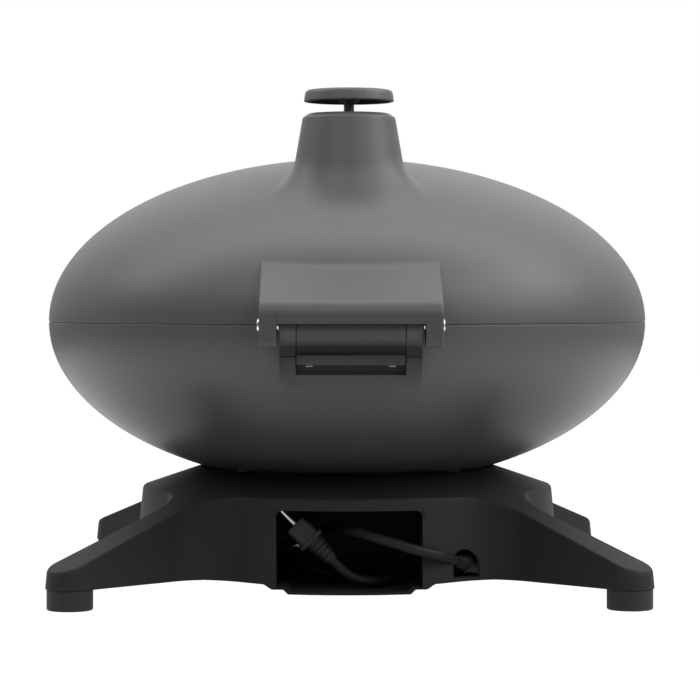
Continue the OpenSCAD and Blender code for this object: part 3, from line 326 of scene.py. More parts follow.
# Even finishes, most of them moulded: tone and sheen drift over about 40 mm. Their fine grain of about half a
# millimetre is drawn at 1 mm or more so that it shows.
EVEN = {"drift_mm": 40, "detail": 4.0}
# Thermoplastic rubber, moulded: a bluish black with a soft sheen.
plug_rubber = finish_of("moulded_plug_rubber", "#191b1f", "#222429", (0.46, 0.56), **EVEN, gloss=0.35,
                        relief=(1.5, 0.15))
plug_axes = np.stack([[math.cos(plug_tilt), 0, -math.sin(plug_tilt)], [0, 1.0, 0], plug_way])
rib = np.array([[6.2, 2.0], [6.9, 2.4], [7.1, 5.6], [6.4, 6.0]])
ribs = np.vstack([[[0, 0], [6, 0]], *[rib + k * RIB_STEP for k in range(RIB_COUNT)], [[9, 25.5], [0, 25.5]]])
flange = eased(oblong(26, 38), PLUG_CORNER, 6, True)
front = eased(oblong(21, 35), PLUG_CORNER, 6, True)
plug_case = joined(
    "plug_case",
    turned("tail", eased(ribs, 0.3, 2), plug_tail, plug_way, 48),
    block("flange", flange, TAIL_LEN, TAIL_LEN + FLANGE_T, 1.2, 1.2, plug_tail, plug_axes),
    block("front", front, TAIL_LEN + 1, PLUG_LEN, 0.5, 1.5, plug_tail, plug_axes))
dress(plug_case, plug_rubber, "base", "plug_plastic", "plug_body")

# Plated and blackened metals: a smooth surface whose polish varies every 2 mm or so.
PLATED = {"drift_mm": 2, "detail": 3.0, "metal": 1.0}
# Nickel plate, satin: pale, with a wide soft highlight.
pin_nickel = finish_of("satin_nickel_plate", "#d5d2cd", "#e6e4e0", (0.34, 0.44), **PLATED)
prong_line = eased([[0, 0], [PRONG_R, 0], [PRONG_R, PRONG_LEN], [0, PRONG_LEN]], [0, 0, 0.9, 0], 4)
prongs = joined("plug_prongs", *[
    turned("prong", prong_line, plug_tail + PLUG_LEN * plug_way + [0, s * PRONG_PITCH / 2, 0], plug_way, 32)
    for s in (-1, 1)])
dress(prongs, pin_nickel, "base", "polished_steel", "plug_pins")

# Lid and flue
# One aluminium casting, coated: half of a flattened ball, with a tapered flue on its rear half. The flue's
# wall runs out into the dome in a flare that is long at the rear and short at the sides and front.
BODY_R, LID_H, WALL, SEAM_Z = 280.0, 152.2, 3.0, 245.0
LID_Z = SEAM_Z + 0.5
FLUE_Y, FLUE_TOP_R, FLUE_H, FLUE_TAPER = 148.0, 40.6, 185.6, 0.174
FLUE_Z = LID_Z + FLUE_H
FLARE_SIDE, FLARE_REAR, FLARE_FROM, FLARE_TO = 13.0, 34.0, -10.0, 35.0
MOUTH_DEPTH, MOUTH_FALL, MOUTH_SLOPE, MOUTH_LAND, MOUTH_INNER = 12.0, 3.6, 4.8, 2.0, 4.0
around = np.radians(np.linspace(0, 360, 361)[:-1])


def dome(r, az, grow):
    """Height of the dome, an ellipsoid on the body's axis, at a distance and direction from the flue's."""
    x, y = r * np.cos(az), FLUE_Y + r * np.sin(az)
    return LID_Z + (LID_H + grow) * np.sqrt(np.clip(1 - (x * x + y * y) / (BODY_R + grow) ** 2, 0, 1))


def flue_wall(z):
    """Radius of the tapered flue at a height."""
    return FLUE_TOP_R + FLUE_TAPER * (FLUE_Z - z)


def smooth(t):
    """A share from 0 to 1 that leaves both ends level: three times its square less twice its cube."""
    return t * t * (3 - 2 * t)


def shell(grow):
    """Rows of one skin of the lid, from the flue's top to the rim: the tapered wall, a quadratic curve that
    turns it into the dome, then the dome out to the rim, all for every direction round the flue's axis."""
    r1 = np.full_like(around, FLUE_TOP_R)
    for _ in range(6):
        r1 = flue_wall(dome(r1, around, grow)) + grow
    z1 = dome(r1, around, grow)
    rearward = np.degrees(np.arcsin(np.sin(around)))
    t = np.clip((rearward - FLARE_FROM) / (FLARE_TO - FLARE_FROM), 0, 1)
    flare = FLARE_SIDE + (FLARE_REAR - FLARE_SIDE) * smooth(t)
    top = FLUE_Z - MOUTH_DEPTH
    start = np.stack([flue_wall(z1 + flare) + grow, z1 + flare])
    corner = np.stack([r1, z1])
    end = np.stack([r1 + flare, dome(r1 + flare, around, grow)])
    s = np.linspace(0, 1, 15)[:, None]
    wall_z = top + (start[1] - top) * s[:-1]
    wall = np.stack([flue_wall(wall_z) + grow, wall_z])
    s = np.linspace(0, 1, 25)[:, None]
    curve = start[:, None] * (1 - s) ** 2 + corner[:, None] * 2 * s * (1 - s) + end[:, None] * s ** 2
    rim = -FLUE_Y * np.sin(around) + np.sqrt((BODY_R + grow) ** 2 - (FLUE_Y * np.cos(around)) ** 2)
    q = np.linspace(1, 0, 71)[1:, None]
    dome_r = rim - (rim - end[0]) * q ** 2
    last = np.stack([dome_r, dome(dome_r, around, grow)])
    return np.concatenate([wall, curve, last], axis=1)


outer, inner = shell(0), shell(-WALL)
land = flue_wall(FLUE_Z) - MOUTH_SLOPE
mouth = eased([
    [flue_wall(FLUE_Z - MOUTH_DEPTH), FLUE_Z - MOUTH_DEPTH],
    [flue_wall(FLUE_Z - MOUTH_FALL), FLUE_Z - MOUTH_FALL],
    [land, FLUE_Z], [land - MOUTH_LAND, FLUE_Z], [land - MOUTH_LAND, FLUE_Z - MOUTH_INNER],
    [land + 1.5, FLUE_Z - MOUTH_DEPTH]], [0, 1.2, 1.2, 0.8, 1, 0], 5)[1:][::-1]
mouth = np.broadcast_to(mouth.T[:, :, None], (2, len(mouth), len(around)))
# The rims of lid and bowl are rounded over, each a little past its shell, so the seam shows as a thin line.
RIM_R, SEAM_LIP = 1.0, 0.3
q = np.radians(np.linspace(0, 90, 7))[:, None]
edge_r = outer[0, -1] - RIM_R * (1 - np.cos(q))
edge_z = LID_Z - SEAM_LIP + RIM_R * (1 - np.sin(q)) + 0 * around
rows = np.concatenate([mouth, outer[:, :-1], np.stack([edge_r, edge_z]), inner[:, ::-1]], axis=1)
lid_grid = np.stack([rows[0] * np.cos(around), FLUE_Y + rows[0] * np.sin(around), rows[1]], -1)
lid = surface("lid", lid_grid, wrap_rows=True, wrap_columns=True, sharp=50)

# Powder coats: tone and sheen drift over about 120 mm with the thickness of the film, under a fine orange
# peel. The peel's real grain of about 1 mm is drawn at 3 mm so that it shows.
COATED = {"drift_mm": 120, "detail": 5.0, "relief": (3, 0.12)}
# Satin powder coat on aluminium: a neutral dark grey with broad soft highlights.
body_coat = finish_of("satin_powder_coat", "#5b5b5a", "#616160", (0.4, 0.46), **COATED)
dress(lid, body_coat, "lid", "body_paint", "lid_shell", "lid_flue")

# Damper
# A turned cap like a mushroom, coated like the lid, on a plain rod. The rod slides in a hub that two arms
# hold in the flue, and a spring clip below the hub keeps it in.
CAP_Z, HUB_Z = FLUE_Z + 10.5, FLUE_Z - 27
ROD_R, ROD_LOW, ROD_TOP = 4.65, HUB_Z - 7.6, CAP_Z + 4
over_flue = np.array([0, FLUE_Y, 0])
cap_line = eased([[0, 0], [9, 0], [9, 4], [36.4, 4], [36.4, 0], [40.2, 0], [38.6, 10.5], [0, 10.5]],
                 [0, 0.6, 0.8, 1, 0.6, 2.4, 3.8, 0], 7)
cap = turned("damper_cap_disc", cap_line, over_flue + [0, 0, CAP_Z], (0, 0, 1), 160)
dress(cap, body_coat, "damper", "body_paint", "damper_cap")
rod_line = eased([[0, ROD_LOW], [ROD_R, ROD_LOW], [ROD_R, ROD_TOP], [0, ROD_TOP]], [0, 1, 0, 0])
rod = turned("damper_rod", rod_line, over_flue, (0, 0, 1), 48)
# Steel, blackened and polished: a dark metal with a clear highlight.
blacked = finish_of("blackened_steel", "#666462", "#747270", (0.2, 0.32), **PLATED)
dress(rod, blacked, "damper", "hinge_metal", "damper_stem")

# Hinge cover
# A coated cover on the lid: a flat ramp that leaves the dome and rolls over the barrel, closed at both sides
# by thick ears. The ears carry the pins.
HINGE_Y, HINGE_Z = 300.0, SEAM_Z
BARREL_R, COVER_R, COVER_T = 17.5, 22.7, 3.5
COVER_X, EAR_X, EAR_R, EAR_EASE = 76.75, 62.15, 18.5, 2.0
EAR_CORNER, EAR_GAP, BLEND, BEND_R = 5.0, 1.0, 7.0, 15.0
RAMP_H, RAMP_RISE, RAMP_LAP, UPRIGHT_LOW = 49.0, 3.0, 0.3, 1.2
EAR_SINK, COVER_SINK = 1.0, np.array([0.6, 0.3])
bend_at = np.array([COVER_R - BEND_R, 8.0])


def dome_y(h, x):
    """The dome's place along the grill's depth, counted from the hinge's axis, at a height and a distance
    from the middle: the ellipsoid of the lid solved for its depth."""
    return np.sqrt(np.clip(BODY_R ** 2 * (1 - (h / LID_H) ** 2) - x ** 2, 0, None)) - HINGE_Y


def ramp_at(x):
    """The ramp at a distance from the middle, as the direction of its normal and its length: the line from a
    point on the dome that touches the round bend. That point's height hardly changes, so the ramp's edge
    lies level."""
    h = RAMP_H + RAMP_RISE * (x / COVER_X) ** 2
    y = dome_y(h, x)
    away = np.hypot(y - bend_at[0], h - bend_at[1])
    az = np.arctan2(h - bend_at[1], y - bend_at[0]) - np.arccos(BEND_R / away)
    return az, np.sqrt(away ** 2 - BEND_R ** 2)


def around_cover(x, r):
    """The cover's section at a place along its width: an upright face behind the hinge's axis, the round
    bend, the ramp, and a quadratic curve that runs out on the dome, with a last point inside the dome."""
    x = np.asarray(x, float)
    az, reach = ramp_at(x)
    normal, uphill = np.stack([np.cos(az), np.sin(az)], -1), np.stack([-np.sin(az), np.cos(az)], -1)
    bend_r = BEND_R + r - COVER_R
    upright_z = np.linspace(UPRIGHT_LOW, 0.9 * bend_at[1], 4)[:, None] + 0 * x
    upright = np.stack([np.full_like(upright_z, r), upright_z], -1)
    a = np.linspace(0, 1, 25)[:, None] * az
    arc = bend_at + bend_r * np.stack([np.cos(a), np.sin(a)], -1)
    s = np.linspace(0, 1, 25)[1:, None, None] * (reach - BLEND)[:, None]
    line = bend_at + bend_r * normal + s * uphill
    corner = bend_at + bend_r * normal + reach[:, None] * uphill
    z = corner[:, 1] + BLEND
    end = np.stack([dome_y(HINGE_Z + z - LID_Z, x), z], -1) - 0.3 * (COVER_R - r) * normal
    s = np.linspace(0, 1, 10)[1:, None, None]
    curve = line[-1] * (1 - s) ** 2 + corner * 2 * s * (1 - s) + end * s ** 2
    return np.concatenate([upright, arc, line, curve, end[None] - COVER_SINK])


def cover_skin(r, across):
    """One skin of the cover between its ears."""
    flat = around_cover(across, r)
    x = np.broadcast_to(across[None, :], flat.shape[:2])
    return np.stack([x, HINGE_Y + flat[..., 0], HINGE_Z + flat[..., 1]], -1)


across = np.linspace(-EAR_X - RAMP_LAP, EAR_X + RAMP_LAP, 41)
top_skin, under_skin = cover_skin(COVER_R, across), cover_skin(COVER_R - COVER_T, across)
ramp = surface("ramp", np.concatenate([top_skin, under_skin[::-1]]), wrap_rows=True)


def arc_of(r, angles):
    """Points at a distance from the origin, one for each angle."""
    return r * np.stack([np.cos(angles), np.sin(angles)], -1)


def ear_outline(x, inset):
    """Outline of an ear round the hinge's axis: the cover's arc and ramp behind and above, the dome's own
    line in front, a short level edge over the seam, the round eye below, then a rounded corner and the
    straight rear edge."""
    upper = around_cover([x], COVER_R - inset)[:, 0]
    low = EAR_GAP + inset
    z = np.linspace(upper[-1, 1], low, 14)[1:]
    front = np.stack([dome_y(HINGE_Z + z - LID_Z, x) - EAR_SINK, z], -1)
    eye_r = EAR_R - inset
    eye_line = arc_of(eye_r, np.linspace(math.pi - math.asin(low / eye_r), 1.5 * math.pi, 20))
    corner = arc_of(EAR_CORNER - inset, np.radians(np.linspace(-90, 0, 9)))
    return np.concatenate([upper, front, eye_line, corner + [COVER_R - EAR_CORNER, EAR_CORNER - EAR_R]])


def ear(side):
    """An ear: its outline carried outwards, the outer edge rounded as a quarter circle, both ends closed."""
    q = np.radians(np.linspace(0, 90, 6))
    flat_x = [EAR_X, EAR_X + 0.4, COVER_X - 1.3 * EAR_EASE]
    xs = np.concatenate([flat_x, COVER_X - EAR_EASE + EAR_EASE * np.sin(q)])
    insets = np.concatenate([[0, 0, 0], EAR_EASE * (1 - np.cos(q))])
    flat = np.stack([ear_outline(x, i) for x, i in zip(xs, insets)])
    x = np.broadcast_to((side * xs)[:, None], flat.shape[:2])
    grid = np.stack([x, HINGE_Y + flat[..., 0], HINGE_Z + flat[..., 1]], -1)
    return surface("ear", grid, wrap_columns=True, caps=(0, -1), sharp=40)


cover = joined("hinge_cover", ramp, ear(1), ear(-1))
# Satin powder coat on the cover: the lid's coat painted a little darker as painted shade, and duller than the
# lid's.
cover_coat_painted_shade = finish_of("satin_coat_painted_shade_on_cover", "#575756", "#5d5d5c", (0.42, 0.48), **COATED, gloss=0.45)
dress(cover, cover_coat_painted_shade, "lid", "body_paint", "lid_hinge_cover")

# Hinge pins
# Two steel pins with low domed heads, nickel plated. They are pressed into the ears from outside and turn in
# the bracket's bushes.
SIDES = ((1, "left"), (-1, "right"))
# Nickel plate, polished: a bright metal that mirrors the room.
nickel = finish_of("polished_nickel_plate", "#c9c6c1", "#dedcd8", (0.12, 0.24), **PLATED)
pin_line = eased([[0, 2.8], [3.4, 2.6], [5.4, 1.7], [6.2, 0], [4, 0], [4, -40], [0, -40]],
                 [0, 1.6, 1.4, 0.3, 0, 0.8, 0], 7)
for side, label in SIDES:
    pin_at = (side * COVER_X, HINGE_Y, HINGE_Z)
    pin = turned("hinge_pin_" + label + "_steel", pin_line, pin_at, (side, 0, 0), 64)
    dress(pin, nickel, "lid", "polished_steel", "hinge_pin_" + label)

# Hinge bracket and block
# A cast bracket on the bowl with a knuckle at each side, and a cast block between them whose ledge is
# screwed down from below. Both are powder coated, and each knuckle has a plated bush for its pin.
KNUCKLE_IN, KNUCKLE_OUT, BLOCK_X, BLOCK_WEB_X, KNUCKLE_WEB_IN = 45.95, 60.35, 45.75, 45.6, 0.2
PLATE_TOP = -(COVER_R + 3.7)
LEDGE_H, LEDGE_LIP, RECESS_H, BRACKET_H = 7.0, 1.7, 8.5, 26.5
BUSH_IN, BUSH_OUT, BUSH_LEN = 4.05, 5.5, KNUCKLE_OUT - KNUCKLE_IN + 0.4
SCREW_X, SCREW_Y = 35.0, -8.5
at_hinge = np.array([0, HINGE_Y, HINGE_Z])
carry_x = np.array([[0, 1, 0], [0, 0, 1], [1.0, 0, 0]])
carry_y = np.array([[1.0, 0, 0], [0, 0, 1], [0, -1, 0]])


def circle(r, n=72):
    """Points of a circle round the origin."""
    return arc_of(r, np.linspace(0, 2 * np.pi, n, endpoint=False))


web = eased([[-21, -2], [-14, -2], [-7, -15.5], [-7, PLATE_TOP], [-24, PLATE_TOP]],
            [0.5, 0.5, 2, 0.5, 0.5], 3, True)
ledge = eased([[-14, PLATE_TOP - LEDGE_H], [-3, PLATE_TOP - LEDGE_H], [-3, PLATE_TOP + LEDGE_LIP],
               [-14, PLATE_TOP + LEDGE_LIP]], [0.4, 0.8, 1.2, 0.4], 4, True)
middle = joined("hinge_block_cast",
                block("barrel", circle(BARREL_R), -BLOCK_X, BLOCK_X, 0.9, 0.9, at_hinge, carry_x),
                block("web", web, -BLOCK_WEB_X, BLOCK_WEB_X, 0.6, 0.6, at_hinge, carry_x),
                block("ledge", ledge, -BLOCK_X, BLOCK_X, 0.8, 0.8, at_hinge, carry_x))
# Satin powder coat on the block: the lid's coat painted darker as painted shade, with a weak highlight.
block_coat_painted_shade = finish_of("satin_coat_painted_shade_on_castings", "#4b4b4a", "#515150", (0.44, 0.5), **COATED, gloss=0.4)
dress(middle, block_coat_painted_shade, "base", "hinge_metal", "hinge_block")
PLATE_LOW, PLATE_CUT, PLATE_FACE, BACK_FROM, BACK_TO, YOKE_T = -BRACKET_H, 5.0, -6.0, 8.0, 24.0, 20.0
RECESS_LOW, RECESS_X = -LEDGE_H - RECESS_H, KNUCKLE_IN + 0.2
plate = np.array([[-KNUCKLE_OUT, 0], [KNUCKLE_OUT, 0], [KNUCKLE_OUT, PLATE_LOW + PLATE_CUT],
                  [KNUCKLE_OUT - PLATE_CUT, PLATE_LOW], [PLATE_CUT - KNUCKLE_OUT, PLATE_LOW],
                  [-KNUCKLE_OUT, PLATE_LOW + PLATE_CUT]])
yoke = np.vstack([[[-KNUCKLE_OUT, 0], [-RECESS_X, 0], [-RECESS_X, RECESS_LOW], [RECESS_X, RECESS_LOW],
                   [RECESS_X, 0]], plate[1:]])
face = at_hinge + [0, PLATE_FACE, PLATE_TOP]
parts = [block("back", plate, BACK_FROM, BACK_TO, 0.5, 0.5, face, carry_y),
         block("yoke", yoke, 0, YOKE_T, 1.0, 0.5, face, carry_y)]
for side in (1, -1):
    from_x, to_x = sorted((side * KNUCKLE_IN, side * KNUCKLE_OUT))
    parts += [block("knuckle", circle(BARREL_R), from_x, to_x, 0.9, 0.9, at_hinge, carry_x),
              block("knuckle_web", web, from_x + KNUCKLE_WEB_IN, to_x - KNUCKLE_WEB_IN, 0.6, 0.6, at_hinge,
                    carry_x)]
bracket = joined("hinge_bracket_cast", *parts)
# Satin powder coat on the bracket: the lid's coat painted a little darker as painted shade, with the block's
# weak highlight.
bracket_coat_painted_shade = finish_of("satin_coat_painted_shade_on_bracket", "#555554", "#5b5b5a", (0.44, 0.5), **COATED, gloss=0.4)
dress(bracket, bracket_coat_painted_shade, "base", "hinge_metal", "hinge_bracket")
bush_line = [[BUSH_IN, 0], [BUSH_OUT, 0], [BUSH_OUT, BUSH_LEN], [BUSH_IN, BUSH_LEN], [BUSH_IN, 0]]
for side, label in SIDES:
    bush_at = (side * KNUCKLE_IN, HINGE_Y, HINGE_Z)
    bush = turned("hinge_bush_" + label + "_sleeve", bush_line, bush_at, (side, 0, 0), 48)
    dress(bush, nickel, "base", "polished_steel", "hinge_bush_" + label)
screw_line = eased([[0, -1.8], [4.4, -1.8], [4.4, 0], [2.5, 0], [2.5, 6], [0, 6]], [0, 1.3, 0.2, 0, 0, 0], 5)
screws = joined("ledge_screws", *[
    turned("screw", screw_line, at_hinge + [s * SCREW_X, SCREW_Y, PLATE_TOP - LEDGE_H], (0, 0, 1), 40)
    for s in (-1, 1)])
# Zinc plate, dull: a mid grey metal with a broad highlight.
zinc = finish_of("dull_zinc_plate", "#7b7a78", "#8b8a88", (0.4, 0.5), **PLATED)
dress(screws, zinc, "base", "polished_steel", "hinge_screws")

# Bowl
# The same flattened ball turned over, cast and coated like the lid. It has an inner lip that the lid closes
# over, two rests for grates and reflector, and a drain hole at its lowest point.
BOWL_H, BOWL_Z, DRAIN_R = 153.5, SEAM_Z - 0.5, 8.0
LIP_OUT, LIP_IN, LIP_H, LIP_DEPTH = 276.0, 273.0, 5.0, 10.0
GRATE_DEPTH, REFLECTOR_DEPTH = 25.0, 95.0
REST_W, REST_T, REST_FALL = 10.0, 2.0, 9.0


def bowl_line(r, h, n):
    """A quarter ellipse from the drain hole out to the rim, even in its own angle."""
    a = np.linspace(math.asin(DRAIN_R / r), math.pi / 2, n)
    return np.stack([r * np.sin(a), BOWL_Z - h * np.cos(a)], -1)


def inside_r(d):
    """Inner radius of the bowl at a depth below its rim."""
    return (BODY_R - WALL) * math.sqrt(1 - (d / (BOWL_H - WALL)) ** 2)


def rest_line(d):
    """A rest in section, at a depth below the bowl's rim: a flat top with a sloping underside."""
    r, z = inside_r(d), BOWL_Z - d
    foot = [inside_r(d + REST_FALL), z - REST_FALL]
    return np.array([[r, z], [r - REST_W, z], [r - REST_W, z - REST_T], foot])


skin_out = bowl_line(BODY_R, BOWL_H, 120)
skin_in = bowl_line(BODY_R - WALL, BOWL_H - WALL, 120)[::-1]
deep = BOWL_Z - skin_in[:, 1]
lip_line = eased([[BODY_R, BOWL_Z - 2.5], [BODY_R, BOWL_Z + SEAM_LIP], [LIP_OUT, BOWL_Z + SEAM_LIP],
                  [LIP_OUT, BOWL_Z + LIP_H], [LIP_IN, BOWL_Z + LIP_H], [LIP_IN, BOWL_Z - LIP_DEPTH]],
                 [0, RIM_R, 0.5, 0.8, 0.8, 0], 5)
stretches = [skin_out[:-2], lip_line]
below = LIP_DEPTH + 1
for depth in (GRATE_DEPTH, REFLECTOR_DEPTH):
    stretches += [skin_in[(deep > below) & (deep < depth)], rest_line(depth)]
    below = depth + REST_FALL
stretches += [skin_in[deep > below], skin_out[:1]]
bowl = turned("bowl", np.concatenate(stretches), (0, 0, 0), (0, 0, 1), 288, 40)
dress(bowl, body_coat, "base", "body_paint", "bowl_shell")

# Base
# One large moulding in black glass-filled nylon: a round middle with a sloping top, four diagonal legs that
# run out of it in wide fillets, and drafted side walls. It is open below.
BASE_R, SADDLE_R, BASE_LOW, BASE_WALL, EDGE_R = 192.0, 137.0, 18.0, 3.0, 2.2
SHELF_HOLE_R, SHELF_Z, SADDLE_EASE = 96.0, BOWL_Z - BOWL_H - 7.5, 1.5
LEG_HALF, LEG_FILLET = 20.5, 50.0
DRAFT, BASE_R_AT, LEG_HALF_AT = math.tan(math.radians(5.65)), 94.0, 25.0
ROOF_SLOPE, ROOF_T, WALL_MID, SADDLE_STEP = 0.34, 3.4, 60.0, 2.5
UNDER_DROP, UNDER_IN = 5.5, 4.0
leg_ends = np.array([[240.5, 242], [-240.5, 242], [-234.5, -242], [234.5, -242]])
leg_d = np.linalg.norm(leg_ends, axis=1)[:, None, None]
leg_az = np.arctan2(leg_ends[:, 1], leg_ends[:, 0])
saddle_z = BOWL_Z - BOWL_H * math.sqrt(1 - (SADDLE_R / BODY_R) ** 2) - 1.0
# Points of half an outline of one leg: on the round middle, the fillet, the leg's side and its end
SPANS = (40, 24, 14, 17)
HALF_N = sum(SPANS)
PLAN_SHAPE = (len(leg_ends), 2, HALF_N)


def roof(r):
    """Height of the sloping top at a distance from the axis."""
    return saddle_z - ROOF_SLOPE * (r - SADDLE_R)


def plan(z, inset):
    """Outline of the base at a height per point, drawn in by an inset: for each leg an arc of the round
    middle, a fillet, the leg's straight side and half of its round end, then the same mirrored."""
    z = np.broadcast_to(z, PLAN_SHAPE)
    inset = np.broadcast_to(inset, PLAN_SHAPE)
    r = BASE_R + (BASE_R_AT - z) * DRAFT - inset
    w = LEG_HALF - (z - LEG_HALF_AT) * DRAFT - inset
    f = LEG_FILLET + inset
    vc = w + f
    uc = np.sqrt((r + f) ** 2 - vc ** 2)
    open_spans = [np.linspace(0, 1, n, endpoint=False) for n in SPANS[:3]]
    s = np.concatenate([*open_spans, np.linspace(0, 1, SPANS[3])])
    k = np.repeat([0, 1, 2, 3], SPANS)
    a0 = np.arctan2(vc, uc)
    quarter = np.radians([0, 90, -180, -90])
    half = np.stack([leg_az - quarter, quarter + math.pi / 2 - leg_az], -1)[..., None]
    arc = -half + (half - a0) * s
    b0 = math.pi - a0
    bend = b0 + (math.pi / 2 - b0) * s
    end = -math.pi / 2 + math.pi / 2 * s
    on = [k == 0, k == 1, k == 2]
    u = np.select(on, [r * np.cos(arc), uc + f * np.cos(bend), uc + (leg_d - uc) * s],
                  leg_d + w * np.cos(end))
    v = np.select(on, [r * np.sin(arc), -vc + f * np.sin(bend), -w], w * np.sin(end))
    v[:, 1] = -v[:, 1]
    az = leg_az[:, None, None]
    xy = np.stack([u * np.cos(az) - v * np.sin(az), u * np.sin(az) + v * np.cos(az)], -1)
    return np.concatenate([xy[:, 0], xy[:, 1, ::-1]], axis=1).reshape(-1, 2)


def per_column(values):
    """Values along the outline put back in the plan's own order of legs, sides and points."""
    v = values.reshape(len(leg_ends), 2 * HALF_N)
    return np.stack([v[:, :HALF_N], v[:, :HALF_N - 1:-1]], axis=1)


def along(values):
    """Values in the plan's own order put along the outline."""
    return np.concatenate([values[:, 0], values[:, 1, ::-1]], axis=1).reshape(-1)


# At the rear the hem sinks a little towards the middle, and beside the cord's tub it steps down further.
HEM_SINK, HEM_FROM, HEM_OVER = 2.4, 128.0, 50.0
STEP_SINK, STEP_FROM, STEP_OVER = 4.4, 77.0, 9.0
HEM_R = 1.0
hem_line = plan(BASE_LOW, 0.0)
aside = np.where(hem_line[:, 1] > 0, np.abs(hem_line[:, 0]), np.inf)
sink = HEM_SINK * np.clip((HEM_FROM - aside) / HEM_OVER, 0, 1)
step = STEP_SINK * smooth(np.clip((STEP_FROM - aside) / STEP_OVER, 0, 1))
low_z = per_column(BASE_LOW - sink - step)
roof_edge = per_column(roof(np.linalg.norm(plan(WALL_MID, 0.0), axis=1)))
rim_xy = plan(roof_edge, EDGE_R)
rim_r = np.linalg.norm(rim_xy, axis=1)
rim_way = rim_xy / rim_r[:, None]
levels = []


def row_at(r, z):
    """A row of the base at a distance from the axis and a height, both for all points or for each one."""
    r, z = np.broadcast_to(r, len(rim_way)), np.broadcast_to(z, len(rim_way))
    levels.append(np.column_stack([rim_way * r[:, None], z]))


# Shelf under the bowl, the saddle's rounded edge and the sloping top
row_at(SHELF_HOLE_R, SHELF_Z - BASE_WALL)
row_at(SHELF_HOLE_R, SHELF_Z)
row_at(SADDLE_R, SHELF_Z)
row_at(SADDLE_R, saddle_z - SADDLE_STEP)
for q in np.radians([0, 30, 60, 90]):
    r = SADDLE_R + SADDLE_EASE * (1 - math.cos(q))
    row_at(r, roof(r) - SADDLE_EASE * (1 - math.sin(q)))
for s in (0.03, 0.12, 0.25, 0.4, 0.55, 0.7, 0.85, 0.95, 0.985):
    r = SADDLE_R + SADDLE_EASE + (rim_r - SADDLE_R - SADDLE_EASE) * s
    row_at(r, roof(r))
# The rounded edge of the top, the drafted wall and the rounded hem
for q in np.radians([0, 15, 30, 45, 60, 75, 90]):
    xy = plan(roof_edge, EDGE_R * (1 - math.sin(q)))
    levels.append(np.column_stack([xy, roof(np.linalg.norm(xy, axis=1)) - EDGE_R * (1 - math.cos(q))]))
wall_top = per_column(levels[-1][:, 2])
for s in (0.03, 0.15, 0.3, 0.45, 0.6, 0.75, 0.88, 0.97):
    z = wall_top + (low_z + HEM_R - wall_top) * s
    levels.append(np.column_stack([plan(z, 0.0), along(z)]))
for q in np.radians([0, 45, 90]):
    xy = plan(low_z, HEM_R * (1 - math.cos(q)))
    levels.append(np.column_stack([xy, along(low_z) + HEM_R * (1 - math.sin(q))]))
# The inside of wall and top, back to the shelf
levels.append(np.column_stack([plan(low_z, BASE_WALL), along(low_z)]))
under_z = np.minimum(roof_edge - UNDER_DROP, wall_top - BASE_WALL)
levels.append(np.column_stack([plan(under_z, BASE_WALL), along(under_z)]))
inner_r = SADDLE_R + BASE_WALL
under_r = np.linalg.norm(plan(under_z, BASE_WALL + UNDER_IN), axis=1)
for s in (1.0, 0.5, 0.0):
    r = inner_r + (under_r - inner_r) * s
    row_at(r, roof(r) - ROOF_T)
row_at(inner_r, SHELF_Z - BASE_WALL)
moulding = surface("moulding", np.stack(levels), wrap_rows=True, wrap_columns=True, sharp=40)


def cut(obj, *cutters):
    """Cuts closed shapes out of a piece and keeps the result as plain mesh."""
    for c in cutters:
        m = obj.modifiers.new("cut", "BOOLEAN")
        m.operation = "DIFFERENCE"
        m.solver = "EXACT"
        m.object = c
    bpy.context.view_layer.update()
    mesh = bpy.data.meshes.new_from_object(obj.evaluated_get(bpy.context.evaluated_depsgraph_get()))
    name = obj.name
    for o in (obj, *cutters):
        bpy.data.objects.remove(o)
    mesh.name = name
    return as_object(name, mesh, 40)


def doorway(half, low, top):
    """Corners of an opening in the wall, from its half width and its two heights."""
    return [[-half, low], [half, low], [half, top], [-half, top]]


# Openings for the cord's tub at the rear and the drip tray in front, the arched niche with the pocket behind
# the gland, and the boss that the dial plate lies on
WALL_NEAR, WALL_FAR = 150.0, 230.0
NICHE_Z, NICHE_R, NICHE_SILL, NICHE_FROM, NICHE_TO = 33.0, 12.0, 20.2, 174.0, 240.0
POCKET_R, POCKET_FROM, POCKET_TO = NICHE_R + 3, 171.0, 175.0
BOSS_R, BOSS_Z, BOSS_FROM, BOSS_FACE = 22.0, 55.0, 184.0, 199.0
carry_back = np.array([[1.0, 0, 0], [0, 0, 1], [0, 1, 0]])
rear_line = eased(doorway(half=64.5, low=2.0, top=80.5), [0, 0, 7, 7], 8, True)
rear_door = block("rear_door", rear_line, WALL_NEAR, WALL_FAR, 0, 0, axes=carry_back)
front_line = eased(doorway(half=56.5, low=29.0, top=70.5), 2, 4, True)
front_door = block("front_door", front_line, -WALL_FAR, -WALL_NEAR, 0, 0, axes=carry_back)
niche_az = math.radians(121)
niche_way = [math.cos(niche_az), math.sin(niche_az), 0]
niche_axes = np.array([[-niche_way[1], niche_way[0], 0], [0, 0, 1.0], niche_way])
sill = NICHE_SILL - NICHE_Z
arch = np.vstack([[[-NICHE_R, sill], [NICHE_R, sill]], circle(NICHE_R, 48)[:25]])
niche_hole = block("niche_hole", arch, NICHE_FROM, NICHE_TO, 0, 0, (0, 0, NICHE_Z), niche_axes)
moulding = cut(moulding, rear_door, front_door, niche_hole)
pocket = block("pocket", circle(POCKET_R), POCKET_FROM, POCKET_TO, 0.5, 0.5, (0, 0, NICHE_Z), niche_axes)
boss_az = math.radians(-64)
boss_line = eased([[0, BOSS_FROM], [BOSS_R, BOSS_FROM], [BOSS_R, BOSS_FACE], [0, BOSS_FACE]],
                  [0, 0.5, 1.5, 0])
boss = turned("boss", boss_line, (0, 0, BOSS_Z), (math.cos(boss_az), math.sin(boss_az), 0), 96)
base = joined("base_moulding", moulding, pocket, boss)
